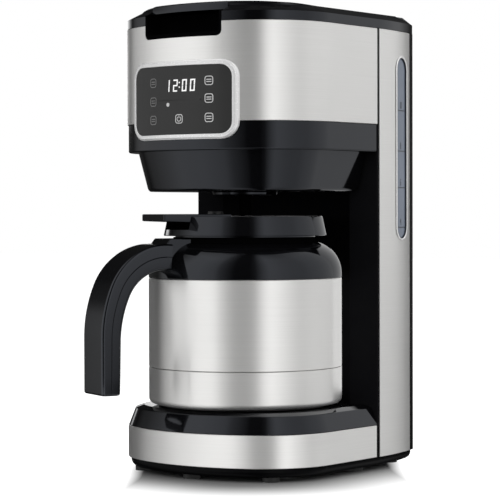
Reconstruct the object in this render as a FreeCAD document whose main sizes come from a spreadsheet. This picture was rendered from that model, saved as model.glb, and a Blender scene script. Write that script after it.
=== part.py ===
import FreeCAD, Part
import math
import os
from types import SimpleNamespace

import Sketcher
from FreeCAD import Placement, Rotation, Vector

# A filter coffee maker with a thermal carafe. Millimetres, +Z up, the front towards -Y and the carafe's axis
# on the Z axis, with the feet on z = 0.

# Driving sizes
SIZES = {
    # Plan of the housing, measured from the carafe's axis
    "half_width": 83.5,
    "nose_reach": 75.4,
    "front_radius": 118.7,
    "corner_radius": 58.5,
    "seam_reach": 48.0,
    "seam_strip": 2.6,
    "side_radius": 180.0,
    "back_reach": 113.2,
    "rear_cover_depth": 12.7,
    "rear_corner_radius": 8.0,
    "bay_radius": 76.0,
    # Walls and clearances
    "steel_sheet": 1.0,
    "plastic_wall": 2.5,
    "fit_gap": 0.2,
    "run_gap": 0.3,
    "shaft_gap": 0.05,
    # Heights, from the feet up
    "foot_height": 3.5,
    "plinth_height": 6.5,
    "band_height": 23.0,
    "platform_rise": 14.5,
    "bay_height": 154.5,
    "funnel_height": 28.0,
    "head_band_height": 20.0,
    "head_shell_height": 69.0,
    "rim_rise": 11.3,
    "lid_rise": 4.2,
    # Base
    "plinth_inset": 2.0,
    "pan_wall": 3.0,
    "platform_low_inset": 0.6,
    "platform_top_inset": 6.0,
    "foot_radius": 6.0,
    "foot_front_reach": 62.0,
    "foot_corner_margin": 25.5,
    "foot_corner_reach": 46.0,
    "foot_side_margin": 17.5,
    "foot_side_reach": 44.0,
    "foot_rear_margin": 25.5,
    "foot_rear_setback": 13.2,
    "post_heater_offset": 16.0,
    "post_front_reach": 24.0,
    "post_rear_reach": 26.0,
    "post_radius": 4.5,
    "screw_radius": 1.5,
    "screw_head_radius": 3.4,
    "screw_head_height": 1.8,
    "screw_length": 16.0,
    # Water path
    "shelf_height": 148.0,
    "shelf_thickness": 3.0,
    "tank_height": 149.0,
    "tank_wall": 2.0,
    "tank_riser_gap": 8.0,
    "tank_outlet_setback": 25.2,
    "nipple_radius": 4.0,
    "nipple_length": 8.0,
    "heater_span": 40.0,
    "heater_reach": 52.0,
    "heater_height": 18.0,
    "heater_radius": 7.0,
    "water_bore": 3.0,
    "hose_radius": 4.5,
    "hose_bend": 12.0,
    "hot_bend": 10.0,
    "check_valve_radius": 7.0,
    "check_valve_length": 16.0,
    "riser_margin": 25.5,
    "riser_setback": 33.2,
    "riser_radius": 4.0,
    "elbow_half": 6.0,
    "service_half_width": 60.5,
    "service_margin": 4.0,
    "saddle_width": 16.0,
    "saddle_length": 10.0,
    "saddle_reach": 20.0,
    "clamp_sheet": 1.2,
    "thermostat_radius": 7.0,
    "thermostat_height": 6.0,
    "fuse_radius": 2.5,
    "fuse_length": 18.0,
    "board_thickness": 1.6,
    "power_board_width": 36.0,
    "power_board_length": 26.0,
    "board_post_height": 4.0,
    "board_post_radius": 3.0,
    "relay_height": 14.0,
    "relay_width": 18.0,
    "bushing_x": 40.0,
    "bushing_lift": 16.0,
    "bushing_radius": 9.0,
    "bushing_neck_radius": 6.5,
    "bushing_bore": 3.8,
    "bushing_flange": 3.6,
    "bushing_depth": 6.0,
    # Sight gauge
    "gauge_setback": 16.5,
    "gauge_half_width": 8.6,
    "gauge_low": 167.5,
    "gauge_height": 132.0,
    "gauge_ring_width": 2.6,
    "gauge_ring_rise": 1.0,
    "gauge_cut_margin": 1.2,
    "gauge_cut_depth": 13.0,
    # Head
    "head_band_inset": 0.8,
    "funnel_top_inset": 8.0,
    "funnel_low_inset": 14.5,
    "funnel_edge": 2.0,
    "funnel_flange_inset": 5.0,
    "funnel_hole_radius": 12.0,
    "drip_rim_radius": 23.5,
    "drip_rim_drop": 2.6,
    "basket_low_radius": 46.0,
    "basket_top_radius": 59.0,
    "basket_wall": 2.0,
    "basket_height": 98.0,
    "basket_hole_radius": 5.5,
    "bridge_half_width": 14.0,
    "bridge_depth": 8.0,
    "bridge_height": 17.0,
    "bridge_sheet": 1.6,
    "stem_radius": 4.0,
    "stem_tip_round": 1.0,
    "stem_disc_radius": 9.0,
    "stem_disc_height": 2.5,
    "guide_radius": 2.5,
    "guide_height": 6.0,
    "spring_radius": 5.0,
    "spring_wire": 0.5,
    "spring_turns": 5.0,
    # Display
    "display_half_width": 46.9,
    "display_drop": 26.5,
    "display_height": 55.0,
    "display_proud": 3.0,
    "display_frame": 2.6,
    "display_corner": 12.0,
    "glass_drop": 0.5,
    "board_reach": 61.4,
    "control_board_half_width": 40.0,
    "control_board_height": 46.0,
    "board_boss_radius": 3.5,
    "board_boss_margin": 6.0,
    # Finger notch
    "notch_half_width": 34.4,
    "notch_drop": 10.3,
    "notch_depth_reach": 55.0,
    "notch_wall": 1.6,
    "notch_proud": 0.4,
    # Lid and its frame
    "frame_wall": 6.4,
    "rim_inset": 9.4,
    "rim_rear_inset": 12.0,
    "rim_rear_corner": 8.0,
    "lid_rear_setback": 21.2,
    "lid_rear_gap": 1.5,
    "lid_rear_corner": 6.0,
    "lid_ledge": 3.0,
    "lid_seat": 3.8,
    "lid_top_inset": 14.0,
    "lid_flat_rise": 0.7,
    "lid_flat_reach": 10.0,
    "lid_tab_proud": 2.4,
    "lid_tab_height": 7.6,
    "hinge_setback": 15.2,
    "hinge_drop": 3.2,
    "hinge_pin_radius": 1.6,
    "hinge_ear_radius": 3.0,
    "hinge_ear_x": 43.0,
    "hinge_ear_width": 14.0,
    "hinge_slot_margin": 0.6,
    "hinge_pin_bite": 5.0,
    "spreader_radius": 28.0,
    "spreader_height": 4.0,
    "spreader_hub_radius": 8.0,
    "spreader_drop": 16.9,
    "spreader_hole_radius": 1.5,
    "spreader_hole_circle": 19.0,
    "spreader_hole_count": 8,
    "channel_width": 10.0,
    "channel_height": 13.9,
    # Carafe
    "carafe_turn": 24.3,
    "carafe_radius": 70.0,
    "carafe_foot_radius": 63.0,
    "carafe_foot_height": 1.2,
    "cup_height": 26.3,
    "cup_corner": 4.0,
    "cup_seam": 0.4,
    "barrel_height": 63.7,
    "shoulder_rim": 3.2,
    "shoulder_radius": 23.0,
    "shoulder_rise": 25.1,
    "neck_radius": 50.5,
    "neck_rise": 3.1,
    "neck_bore": 46.7,
    "neck_ring_radius": 57.0,
    "neck_ring_wall": 4.8,
    "neck_ring_gap": 0.9,
    "liner_radius": 64.0,
    "liner_lift": 5.0,
    "liner_bevel": 6.0,
    "liner_slope": 12.0,
    "liner_neck": 10.0,
    "boss_half_width": 11.0,
    "boss_height": 14.4,
    "boss_root": 48.0,
    "spout_half_width": 12.0,
    "spout_root": 48.6,
    "spout_under": 62.5,
    "spout_height": 13.0,
    "spout_drop": 0.6,
    "spout_reach": 70.5,
    "spout_groove_half": 7.0,
    "spout_wall": 3.0,
    # Handle
    "handle_root": 70.2,
    "handle_thickness": 13.6,
    "handle_half_width": 15.8,
    "handle_bend": 47.0,
    "handle_bend_angle": 67.0,
    "handle_sweep": 94.0,
    "handle_foot": 11.4,
    # Carafe lid, thumb lever and pour valve
    "plug_radius": 45.1,
    "plug_wall": 2.2,
    "plug_depth": 18.3,
    "collar_lift": 1.7,
    "collar_low_radius": 59.0,
    "collar_top_radius": 56.0,
    "collar_height": 14.1,
    "collar_wall": 2.4,
    "brew_hole_radius": 6.0,
    "brew_dish_radius": 10.0,
    "lever_pivot_reach": 44.0,
    "lever_tip_reach": 74.0,
    "lever_root_reach": 21.0,
    "lever_half_width": 18.6,
    "lever_thickness": 5.0,
    "lever_proud": 0.9,
    "lever_slot_root": 15.0,
    "lever_slot_depth": 9.6,
    "lever_pin_radius": 1.5,
    "lug_width": 2.6,
    "lug_length": 8.0,
    "fork_half_width": 3.5,
    "fork_reach": 28.5,
    "valve_reach": 24.0,
    "valve_stem_radius": 3.0,
    "valve_disc_radius": 11.0,
    "valve_disc_height": 2.5,
    "valve_head_radius": 5.5,
    "valve_head_height": 2.0,
    "valve_head_gap": 0.6,
    "valve_port_radius": 9.0,
}

document = FreeCAD.newDocument("drip_coffee_maker")
sheet = document.addObject("Spreadsheet::Sheet", "Sizes")
for row, (name, number) in enumerate(SIZES.items(), start=1):
    sheet.set(f"A{row}", name)
    sheet.set(f"B{row}", str(number))
    sheet.setAlias(f"B{row}", name)
document.recompute()


class Size:
    """A length as a number, together with the sheet's formula for it."""

    def __init__(self, number, formula):
        self.number = float(number)
        self.formula = formula

    def __add__(self, other):
        return Size(self.number + number_of(other), f"({self.formula} + {formula_of(other)})")

    def __radd__(self, other):
        return Size(number_of(other) + self.number, f"({formula_of(other)} + {self.formula})")

    def __sub__(self, other):
        return Size(self.number - number_of(other), f"({self.formula} - {formula_of(other)})")

    def __rsub__(self, other):
        return Size(number_of(other) - self.number, f"({formula_of(other)} - {self.formula})")

    def __mul__(self, other):
        return Size(self.number * number_of(other), f"({self.formula} * {formula_of(other)})")

    __rmul__ = __mul__

    def __truediv__(self, other):
        return Size(self.number / number_of(other), f"({self.formula} / {formula_of(other)})")

    def __neg__(self):
        return Size(-self.number, f"(-{self.formula})")


def number_of(item):
    return item.number if isinstance(item, Size) else float(item)


def formula_of(item):
    return item.formula if isinstance(item, Size) else repr(float(item))


def root(item):
    return Size(math.sqrt(item.number), f"sqrt({item.formula})")


def sine(degrees):
    return Size(math.sin(math.radians(degrees.number)), f"sin({degrees.formula})")


def cosine(degrees):
    return Size(math.cos(math.radians(degrees.number)), f"cos({degrees.formula})")


d = SimpleNamespace(**{name: Size(number, "Sizes." + name) for name, number in SIZES.items()})

# Levels that several pieces share
band_z = d.foot_height + d.plinth_height
band_top = band_z + d.band_height
platform_z = band_top + d.platform_rise
funnel_z = platform_z + d.bay_height
head_z = funnel_z + d.funnel_height
shell_z = head_z + d.head_band_height
shell_top = shell_z + d.head_shell_height
frame_z = shell_top + d.fit_gap
rim_top = shell_top + d.rim_rise
lid_seat_z = rim_top - d.lid_seat
lid_top = rim_top + d.lid_rise
riser_top = lid_seat_z - d.channel_height
pan_floor = d.foot_height + d.plastic_wall
heater_z = pan_floor + d.heater_height
shelf_z = band_z + d.shelf_height
tank_z = shelf_z + d.shelf_thickness
basket_z = funnel_z + d.plastic_wall + d.fit_gap
basket_floor = basket_z + d.plastic_wall
display_z = shell_top - d.display_drop - d.display_height
notch_z = shell_top - d.notch_drop
hinge_z = rim_top - d.hinge_drop
carafe_z = platform_z + d.run_gap
cup_z = carafe_z + d.carafe_foot_height + d.fit_gap
cup_top = cup_z + d.cup_height
barrel_z = cup_top + d.cup_seam
barrel_top = barrel_z + d.barrel_height
shoulder_z = barrel_top + d.fit_gap
shoulder_top = shoulder_z + d.shoulder_rise
neck_top = shoulder_top + d.neck_rise
carafe_lid_z = neck_top + d.run_gap
collar_z = carafe_lid_z + d.collar_lift
collar_top = collar_z + d.collar_height
plug_z = carafe_lid_z - d.plug_depth
chamber_floor = plug_z + d.plastic_wall
deck_top = collar_z + d.plastic_wall
lever_top = collar_top + d.lever_proud
lever_z = lever_top - d.lever_thickness
lever_pivot_z = lever_z + d.lever_thickness / 2
seam_y = d.seam_reach + d.seam_strip

# Places set in from the back and the sides
panel_y = d.back_reach - d.rear_cover_depth
gauge_y = panel_y - d.gauge_setback
outlet_y = d.back_reach - d.tank_outlet_setback
riser_x = d.half_width - d.riser_margin
riser_y = d.back_reach - d.riser_setback
tank_left = riser_x - d.tank_riser_gap
hinge_y = d.back_reach - d.hinge_setback
lid_rear_y = d.back_reach - d.lid_rear_setback

wide = 3 * d.half_width
flush = Size(0, "0")

parts = []


def body_named(label, placement=None):
    body = document.addObject("PartDesign::Body", label)
    body.Label = label
    body.Placement = placement or Placement()
    parts.append(body)
    return body


def bind(item, name, amount):
    item.setExpression(name, formula_of(amount))


def sketch_on(body, role, height=0.0):
    """A sketch on one of the body's own planes, moved along that plane's normal."""
    sketch = body.newObject("Sketcher::SketchObject", body.Label + "_sketch")
    plane = next(item for item in body.Origin.OriginFeatures if item.Role == role)
    sketch.AttachmentSupport = [(plane, "")]
    sketch.MapMode = "FlatFace"
    bind(sketch, "AttachmentOffset.Base.z", height)
    return sketch


def plan(body, height):
    return sketch_on(body, "XY_Plane", height)


def side_view(body, x=0.0):
    return sketch_on(body, "YZ_Plane", x)


def front_view(body, reach=0.0):
    return sketch_on(body, "XZ_Plane", reach)


def pin_point(sketch, geometry, point, x, y):
    """Holds a sketch point at x, y from the origin, by formula where the distance comes from the sheet."""
    for kind, amount, axis in (("DistanceX", x, -2), ("DistanceY", y, -1)):
        if not isinstance(amount, Size) and amount == 0:
            sketch.addConstraint(Sketcher.Constraint("PointOnObject", geometry, point, axis))
            continue
        index = sketch.addConstraint(Sketcher.Constraint(kind, -1, 1, geometry, point, number_of(amount)))
        bind(sketch, f"Constraints[{index}]", amount)


def arc_between(start, end, radius):
    """An arc of under a half circle; a positive radius turns left on the way, a negative one right."""
    chord = end - start
    left = Vector(-chord.y, chord.x, 0).normalize()
    rise = math.sqrt(radius * radius - chord.Length ** 2 / 4)
    centre = (start + end) / 2 + left * math.copysign(rise, radius)
    first, last = (start, end) if radius > 0 else (end, start)
    angles = [math.atan2(point.y - centre.y, point.x - centre.x) for point in (first, last)]
    return Part.ArcOfCircle(Part.Circle(centre, Vector(0, 0, 1), abs(radius)), *angles)


def outline(sketch, corners, closed=True):
    """Draws an outline through corners: (x, y) is reached by a straight line, (x, y, radius) by an arc."""
    points = [Vector(number_of(corner[0]), number_of(corner[1]), 0) for corner in corners]
    first = sketch.GeometryCount
    curves = []
    ends = []
    for index in range(0 if closed else 1, len(corners)):
        radius = number_of(corners[index][2]) if len(corners[index]) == 3 else 0
        if radius:
            curves.append(arc_between(points[index - 1], points[index], radius))
        else:
            curves.append(Part.LineSegment(points[index - 1], points[index]))
        ends.append((1, 2) if radius >= 0 else (2, 1))
    sketch.addGeometry(curves, False)
    count = len(curves)
    links = []
    for index in range(count if closed else count - 1):
        after = (index + 1) % count
        joined = (first + index, ends[index][1], first + after, ends[after][0])
        links.append(Sketcher.Constraint("Coincident", *joined))
    sketch.addConstraint(links)
    reached = corners if closed else corners[1:]
    if not closed:
        pin_point(sketch, first, ends[0][0], corners[0][0], corners[0][1])
    for index, corner in enumerate(reached):
        pin_point(sketch, first + index, ends[index][1], corner[0], corner[1])
        if len(corner) == 3:
            radius = corner[2] if number_of(corner[2]) > 0 else -corner[2]
            held = sketch.addConstraint(Sketcher.Constraint("Radius", first + index, number_of(radius)))
            bind(sketch, f"Constraints[{held}]", radius)
    return sketch


def rectangle(sketch, left, right, low, high):
    return outline(sketch, [(left, low), (right, low), (right, high), (left, high)])


def rounded(sketch, left, right, low, high, radius):
    return outline(sketch, [
        (right - radius, low), (right, low + radius, radius),
        (right, high - radius), (right - radius, high, radius),
        (left + radius, high), (left, high - radius, radius),
        (left, low + radius), (left + radius, low, radius)])


def stadium(sketch, middle, half_width, low, high):
    """A slot with round ends, standing upright."""
    return outline(sketch, [
        (middle + half_width, low + half_width, half_width),
        (middle + half_width, high - half_width), (middle, high, half_width),
        (middle - half_width, high - half_width, half_width), (middle - half_width, low + half_width),
        (middle, low, half_width)])


def circle(sketch, x, y, radius):
    centre = Vector(number_of(x), number_of(y), 0)
    index = sketch.addGeometry(Part.Circle(centre, Vector(0, 0, 1), number_of(radius)), False)
    pin_point(sketch, index, 3, x, y)
    held = sketch.addConstraint(Sketcher.Constraint("Radius", index, number_of(radius)))
    bind(sketch, f"Constraints[{held}]", radius)
    return sketch


def feature(sketch, kind):
    body = sketch.getParentGeoFeatureGroup()
    made = body.newObject("PartDesign::" + kind, f"{body.Label}_{kind.lower()}")
    made.Profile = sketch
    return made


def pad(sketch, length, symmetric=False):
    made = feature(sketch, "Pad")
    bind(made, "Length", length)
    made.SideType = "Symmetric" if symmetric else "One side"
    return made


def pocket(sketch, length, symmetric=False, forward=False):
    """Cuts against the sketch's normal, along it if forward is set, or both ways."""
    made = feature(sketch, "Pocket")
    bind(made, "Length", length)
    made.SideType = "Symmetric" if symmetric else "One side"
    made.Reversed = forward
    return made


def turned(sketch, kind="Revolution"):
    made = feature(sketch, kind)
    made.ReferenceAxis = (sketch, ["V_Axis"])
    made.Angle = 360
    return made


def loft(low, high, kind="AdditiveLoft"):
    made = feature(low, kind)
    made.Sections = [high]
    made.Ruled = True
    return made


def pipe(section, path):
    made = feature(section, "AdditivePipe")
    made.Spine = path
    return made


# Plan outlines of the housing, each set in from the outer face


def front_corners(inset):
    """The rounded front, from the left side round the nose to the right side."""
    nose_centre = d.front_radius - d.nose_reach
    across = d.half_width - d.corner_radius
    between = d.front_radius - d.corner_radius
    along = root(between * between - across * across)
    share = (d.front_radius - inset) / between
    side_x = d.half_width - inset
    corner_y = nose_centre - along
    blend_y = nose_centre - along * share
    corner = d.corner_radius - inset
    return [(-side_x, corner_y), (-across * share, blend_y, corner),
            (across * share, blend_y, d.front_radius - inset), (side_x, corner_y, corner)]


def backwards(corners):
    """The same run of corners from its far end, with each arc turning the other way."""
    turns = [corner[2] if len(corner) == 3 else None for corner in corners]
    run = [corners[-1][:2]]
    for corner, turn in zip(corners[-2::-1], turns[:0:-1]):
        run.append(corner[:2] if turn is None else (*corner[:2], -turn))
    return run


def front_wrap(outer, inner, rear_y):
    """A thin wall round the front, open to the rear at rear_y."""
    outer_x = d.half_width - outer
    inner_x = d.half_width - inner
    return ([(-outer_x, rear_y)] + front_corners(outer) + [(outer_x, rear_y), (inner_x, rear_y)]
            + backwards(front_corners(inner)) + [(-inner_x, rear_y)])


def bay_outline(inset, rear_inset):
    """The front outline closed by the round back of the carafe bay."""
    rear_y = d.seam_reach - rear_inset
    radius = d.bay_radius - rear_inset
    bay_x = root(radius * radius - rear_y * rear_y)
    side_x = d.half_width - inset
    return front_corners(inset) + [
        (side_x, rear_y), (bay_x, rear_y), (-bay_x, rear_y, radius), (-side_x, rear_y)]


def side_x_at(y, inset):
    """Half width of the column at y, where its sides curve in towards the rear."""
    radius = d.side_radius - inset
    return d.half_width - d.side_radius + root(radius * radius - (y - seam_y) * (y - seam_y))


def rear_corner_points(inset):
    """Where the column's right side meets its rear corner, and where that corner meets the back."""
    between = d.side_radius - d.rear_corner_radius
    centre_y = d.back_reach - d.rear_corner_radius
    along = centre_y - seam_y
    across = root(between * between - along * along)
    share = (d.side_radius - inset) / between
    side_centre = d.half_width - d.side_radius
    return ((side_centre + across * share, seam_y + along * share),
            (side_centre + across, d.back_reach - inset))


def column_rear(inset):
    """The column's outline from its right seam round the back to its left seam."""
    side, back = rear_corner_points(inset)
    sweep = d.side_radius - inset
    corner = d.rear_corner_radius - inset
    side_x = d.half_width - inset
    return [(side_x, seam_y), (*side, sweep), (*back, corner), (-back[0], back[1]),
            (-side[0], side[1], corner), (-side_x, seam_y, sweep)]


def whole_outline(inset):
    return front_corners(inset) + column_rear(inset)


def lid_outline(inset, rear_reach):
    side_x = d.half_width - inset
    corner = d.lid_rear_corner
    return front_corners(inset) + [
        (side_x, rear_reach - corner), (side_x - corner, rear_reach, corner),
        (corner - side_x, rear_reach), (-side_x, rear_reach - corner, corner)]


# Base

def foot_places():
    sides = [(d.half_width - d.foot_corner_margin, -d.foot_corner_reach),
             (d.half_width - d.foot_side_margin, d.foot_side_reach),
             (d.half_width - d.foot_rear_margin, d.back_reach - d.foot_rear_setback)]
    places = [(0, -d.foot_front_reach)]
    for x, y in sides:
        places += [(x, y), (-x, y)]
    return places


def post_places():
    post_x = d.heater_span + d.post_heater_offset
    return [(x, y) for x in (post_x, -post_x) for y in (-d.post_front_reach, d.post_rear_reach)]


def make_feet():
    sketch = plan(body_named("feet"), 0)
    for x, y in foot_places():
        circle(sketch, x, y, d.foot_radius)
    pad(sketch, d.foot_height)


def saddle_places():
    return [(d.heater_span, d.saddle_reach), (-d.heater_span, d.saddle_reach)]


def make_base_pan():
    body = body_named("base_pan")
    pad(outline(plan(body, d.foot_height), whole_outline(d.plinth_inset)), d.plinth_height)
    hollow = outline(plan(body, band_z), whole_outline(d.plinth_inset + d.pan_wall))
    pocket(hollow, d.plinth_height - d.plastic_wall)
    for x, y in saddle_places():
        saddle = rectangle(plan(body, pan_floor), x - d.saddle_width / 2, x + d.saddle_width / 2,
                           y - d.saddle_length / 2, y + d.saddle_length / 2)
        pad(saddle, heater_z - d.heater_radius - d.fit_gap - pan_floor)
    board_posts = plan(body, pan_floor)
    for side in (1, -1):
        circle(board_posts, side * (d.power_board_width / 2 - d.board_post_radius), 0, d.board_post_radius)
    pad(board_posts, d.board_post_height)
    heads = plan(body, d.foot_height)
    holes = plan(body, d.foot_height)
    for x, y in post_places():
        circle(heads, x, y, d.screw_head_radius + d.fit_gap)
        circle(holes, x, y, d.screw_radius + d.fit_gap)
    pocket(heads, d.screw_head_height, forward=True)
    pocket(holes, d.plinth_height, forward=True)


def make_base_screws():
    body = body_named("base_screws")
    heads = plan(body, d.foot_height)
    shanks = plan(body, d.foot_height)
    for x, y in post_places():
        circle(heads, x, y, d.screw_head_radius)
        circle(shanks, x, y, d.screw_radius)
    pad(heads, d.screw_head_height)
    pad(shanks, d.screw_length)


def make_base_band():
    body = body_named("base_band")
    pad(outline(plan(body, band_z), front_wrap(flush, d.steel_sheet, d.seam_reach)), d.band_height)


def make_base_top():
    body = body_named("base_top")
    skirt = d.steel_sheet + d.fit_gap
    inner = skirt + d.plastic_wall
    rear = d.fit_gap
    wrap = front_wrap(skirt, inner, d.seam_reach - rear)
    pad(outline(plan(body, band_z), wrap), d.band_height)
    loft(outline(plan(body, band_top), bay_outline(d.platform_low_inset, rear)),
         outline(plan(body, platform_z), bay_outline(d.platform_top_inset, rear)))
    hollow = rear + d.plastic_wall
    ceiling = plan(body, platform_z - d.plastic_wall)
    loft(outline(plan(body, band_top), bay_outline(inner, hollow)),
         outline(ceiling, bay_outline(d.platform_top_inset + d.plastic_wall, hollow)), "SubtractiveLoft")
    posts = plan(body, pan_floor + d.fit_gap)
    holes = plan(body, pan_floor + d.fit_gap)
    for x, y in post_places():
        circle(posts, x, y, d.post_radius)
        circle(holes, x, y, d.screw_radius + d.fit_gap)
    pad(posts, platform_z - d.plastic_wall / 2 - pan_floor - d.fit_gap)
    pocket(holes, d.screw_length, forward=True)


# Column

def core_section(inset, wall, rear_y):
    """The column moulding: a thin wall round the bay and along both sides, open to the rear."""
    front_y = d.seam_reach + d.fit_gap
    strip_x = d.half_width - d.platform_low_inset
    bay = d.bay_radius
    bay_x = root(bay * bay - front_y * front_y)
    inner_y = front_y + wall
    inner_bay = bay + wall
    inner_bay_x = root(inner_bay * inner_bay - inner_y * inner_y)
    outer_x = d.half_width - inset
    inner_x = side_x_at(inner_y, inset + wall)
    rear_x = side_x_at(rear_y, inset)
    rear_inner_x = side_x_at(rear_y, inset + wall)
    sweep = d.side_radius - inset
    inner_sweep = sweep - wall
    return [(outer_x, seam_y), (rear_x, rear_y, sweep), (rear_inner_x, rear_y),
            (inner_x, inner_y, -inner_sweep), (inner_bay_x, inner_y), (-inner_bay_x, inner_y, inner_bay),
            (-inner_x, inner_y), (-rear_inner_x, rear_y, -inner_sweep), (-rear_x, rear_y),
            (-outer_x, seam_y, sweep), (-strip_x, seam_y), (-strip_x, front_y), (-bay_x, front_y),
            (bay_x, front_y, -bay), (strip_x, front_y), (strip_x, seam_y)]


def shelf_outline(inset, wall, rear_y):
    front_y = d.seam_reach + d.fit_gap + wall
    bay = d.bay_radius + wall
    bay_x = root(bay * bay - front_y * front_y)
    front_x = side_x_at(front_y, inset + wall)
    rear_x = side_x_at(rear_y, inset + wall)
    sweep = d.side_radius - inset - wall
    return [(front_x, front_y), (rear_x, rear_y, sweep), (-rear_x, rear_y), (-front_x, front_y, sweep),
            (-bay_x, front_y), (bay_x, front_y, -bay)]


def gauge_cut(body, half_width):
    """A slot through the column's right side for the sight gauge."""
    sketch = side_view(body, d.half_width - d.gauge_cut_depth)
    stadium(sketch, gauge_y, half_width, d.gauge_low - d.gauge_cut_margin,
            d.gauge_low + d.gauge_height + d.gauge_cut_margin)
    pocket(sketch, wide, forward=True)


def make_column_core():
    body = body_named("column_core")
    inset = d.steel_sheet + d.fit_gap
    rear_y = panel_y - d.fit_gap
    pad(outline(plan(body, band_z), core_section(inset, d.plastic_wall, rear_y)), shell_top - band_z)
    pad(outline(plan(body, shelf_z), shelf_outline(inset, d.plastic_wall, rear_y)), d.shelf_thickness)
    holes = plan(body, tank_z)
    circle(holes, d.heater_span, outlet_y, d.nipple_radius + d.run_gap)
    circle(holes, -riser_x, riser_y, d.riser_radius + d.run_gap)
    pocket(holes, d.shelf_thickness)
    service = front_view(body)
    rectangle(service, -d.service_half_width, d.service_half_width,
              heater_z - d.hose_radius - d.service_margin, heater_z + d.hose_radius + d.service_margin)
    pocket(service, wide, symmetric=True)
    sill = front_view(body)
    rectangle(sill, -d.service_half_width, d.service_half_width, riser_top - d.fit_gap, shell_top + d.fit_gap)
    pocket(sill, wide, symmetric=True)
    gauge_cut(body, d.gauge_half_width + d.gauge_cut_margin)


def panel_section(side):
    front_y = seam_y + d.fit_gap
    outer_front = side_x_at(front_y, flush)
    inner_front = side_x_at(front_y, d.steel_sheet)
    outer_rear = side_x_at(panel_y, flush)
    inner_rear = side_x_at(panel_y, d.steel_sheet)
    sweep = d.side_radius
    inner_sweep = d.side_radius - d.steel_sheet
    return [(side * outer_front, front_y), (side * outer_rear, panel_y, side * sweep),
            (side * inner_rear, panel_y), (side * inner_front, front_y, -side * inner_sweep)]


def make_side_panels():
    for label, side in (("side_panel_right", 1), ("side_panel_left", -1)):
        body = body_named(label)
        pad(outline(plan(body, band_z), panel_section(side)), shell_top - band_z)
        if side == 1:
            gauge_cut(body, d.gauge_half_width + d.gauge_cut_margin)


def make_rear_cover():
    body = body_named("rear_cover")
    front_y = panel_y + d.fit_gap
    wall = d.plastic_wall
    outer_side, outer_back = rear_corner_points(flush)
    inner_side, inner_back = rear_corner_points(wall)
    outer_x = side_x_at(front_y, flush)
    inner_x = side_x_at(front_y, wall)
    corner = d.rear_corner_radius
    section = [(outer_x, front_y), (*outer_side, d.side_radius), (*outer_back, corner),
               (-outer_back[0], outer_back[1]), (-outer_side[0], outer_side[1], corner),
               (-outer_x, front_y, d.side_radius), (-inner_x, front_y),
               (-inner_side[0], inner_side[1], wall - d.side_radius),
               (-inner_back[0], inner_back[1], wall - corner), (inner_back[0], inner_back[1]),
               (*inner_side, wall - corner), (inner_x, front_y, wall - d.side_radius)]
    pad(outline(plan(body, band_z), section), shell_top - band_z)
    hole = front_view(body, -d.back_reach)
    circle(hole, d.bushing_x, band_z + d.bushing_lift, d.bushing_neck_radius + d.fit_gap)
    pocket(hole, 4 * d.plastic_wall, symmetric=True)


def make_cord_bushing():
    body = body_named("cord_bushing")
    z = band_z + d.bushing_lift
    flange = front_view(body, -d.back_reach - d.bushing_flange)
    pad(circle(flange, d.bushing_x, z, d.bushing_radius), d.bushing_flange)
    neck = front_view(body, -d.back_reach)
    pad(circle(neck, d.bushing_x, z, d.bushing_neck_radius), d.bushing_depth)
    bore = front_view(body, -d.back_reach)
    pocket(circle(bore, d.bushing_x, z, d.bushing_bore), 4 * d.bushing_depth, symmetric=True)


# Water path

def tank_section(grow):
    """The tank's plan, grown inwards by the wall for its hollow."""
    inset = d.steel_sheet + d.plastic_wall + 2 * d.fit_gap + d.run_gap + grow
    side, back = rear_corner_points(inset)
    front_y = d.seam_reach + d.plastic_wall + d.fit_gap + d.run_gap + grow
    bay = d.bay_radius + d.plastic_wall + d.run_gap + grow
    left_x = tank_left - grow
    bay_x = root(bay * bay - front_y * front_y)
    corner = d.rear_corner_radius - inset
    return [(-left_x, back[1]), (-left_x, root(bay * bay - left_x * left_x)), (bay_x, front_y, -bay),
            (side_x_at(front_y, inset), front_y), (*side, d.side_radius - inset), (*back, corner)]


def make_water_tank():
    body = body_named("water_tank")
    pad(outline(plan(body, tank_z), tank_section(flush)), d.tank_height)
    hollow = outline(plan(body, tank_z + d.tank_height), tank_section(d.tank_wall))
    pocket(hollow, d.tank_height - d.tank_wall)
    nipple = plan(body, tank_z - d.nipple_length)
    pad(circle(nipple, d.heater_span, outlet_y, d.nipple_radius), d.nipple_length)
    bore = circle(plan(body, tank_z - d.nipple_length), d.heater_span, outlet_y, d.water_bore)
    pocket(bore, d.nipple_length + d.tank_wall, forward=True)


check_valve_top = tank_z - d.nipple_length - d.fit_gap
check_valve_z = check_valve_top - d.check_valve_length


def make_check_valve():
    body = body_named("check_valve")
    outer = circle(plan(body, check_valve_z), d.heater_span, outlet_y, d.check_valve_radius)
    pad(circle(outer, d.heater_span, outlet_y, d.water_bore), d.check_valve_length)


def make_cold_hose():
    body = body_named("cold_hose")
    top = check_valve_z - d.fit_gap
    bend_y = outlet_y - d.hose_bend
    end_y = d.heater_reach + d.fit_gap
    path = outline(side_view(body, d.heater_span), [
        (outlet_y, top), (outlet_y, heater_z + d.hose_bend),
        (bend_y, heater_z, -d.hose_bend), (end_y, heater_z)], closed=False)
    section = circle(plan(body, top), d.heater_span, outlet_y, d.hose_radius)
    pipe(circle(section, d.heater_span, outlet_y, d.water_bore), path)


def make_heater():
    body = body_named("heater")
    span = d.heater_span
    path = outline(plan(body, heater_z), [
        (span, d.heater_reach), (span, 0), (0, -span, -span), (-span, 0, -span), (-span, d.heater_reach)],
        closed=False)
    section = circle(front_view(body, -d.heater_reach), span, heater_z, d.heater_radius)
    pipe(circle(section, span, heater_z, d.water_bore), path)


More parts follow.
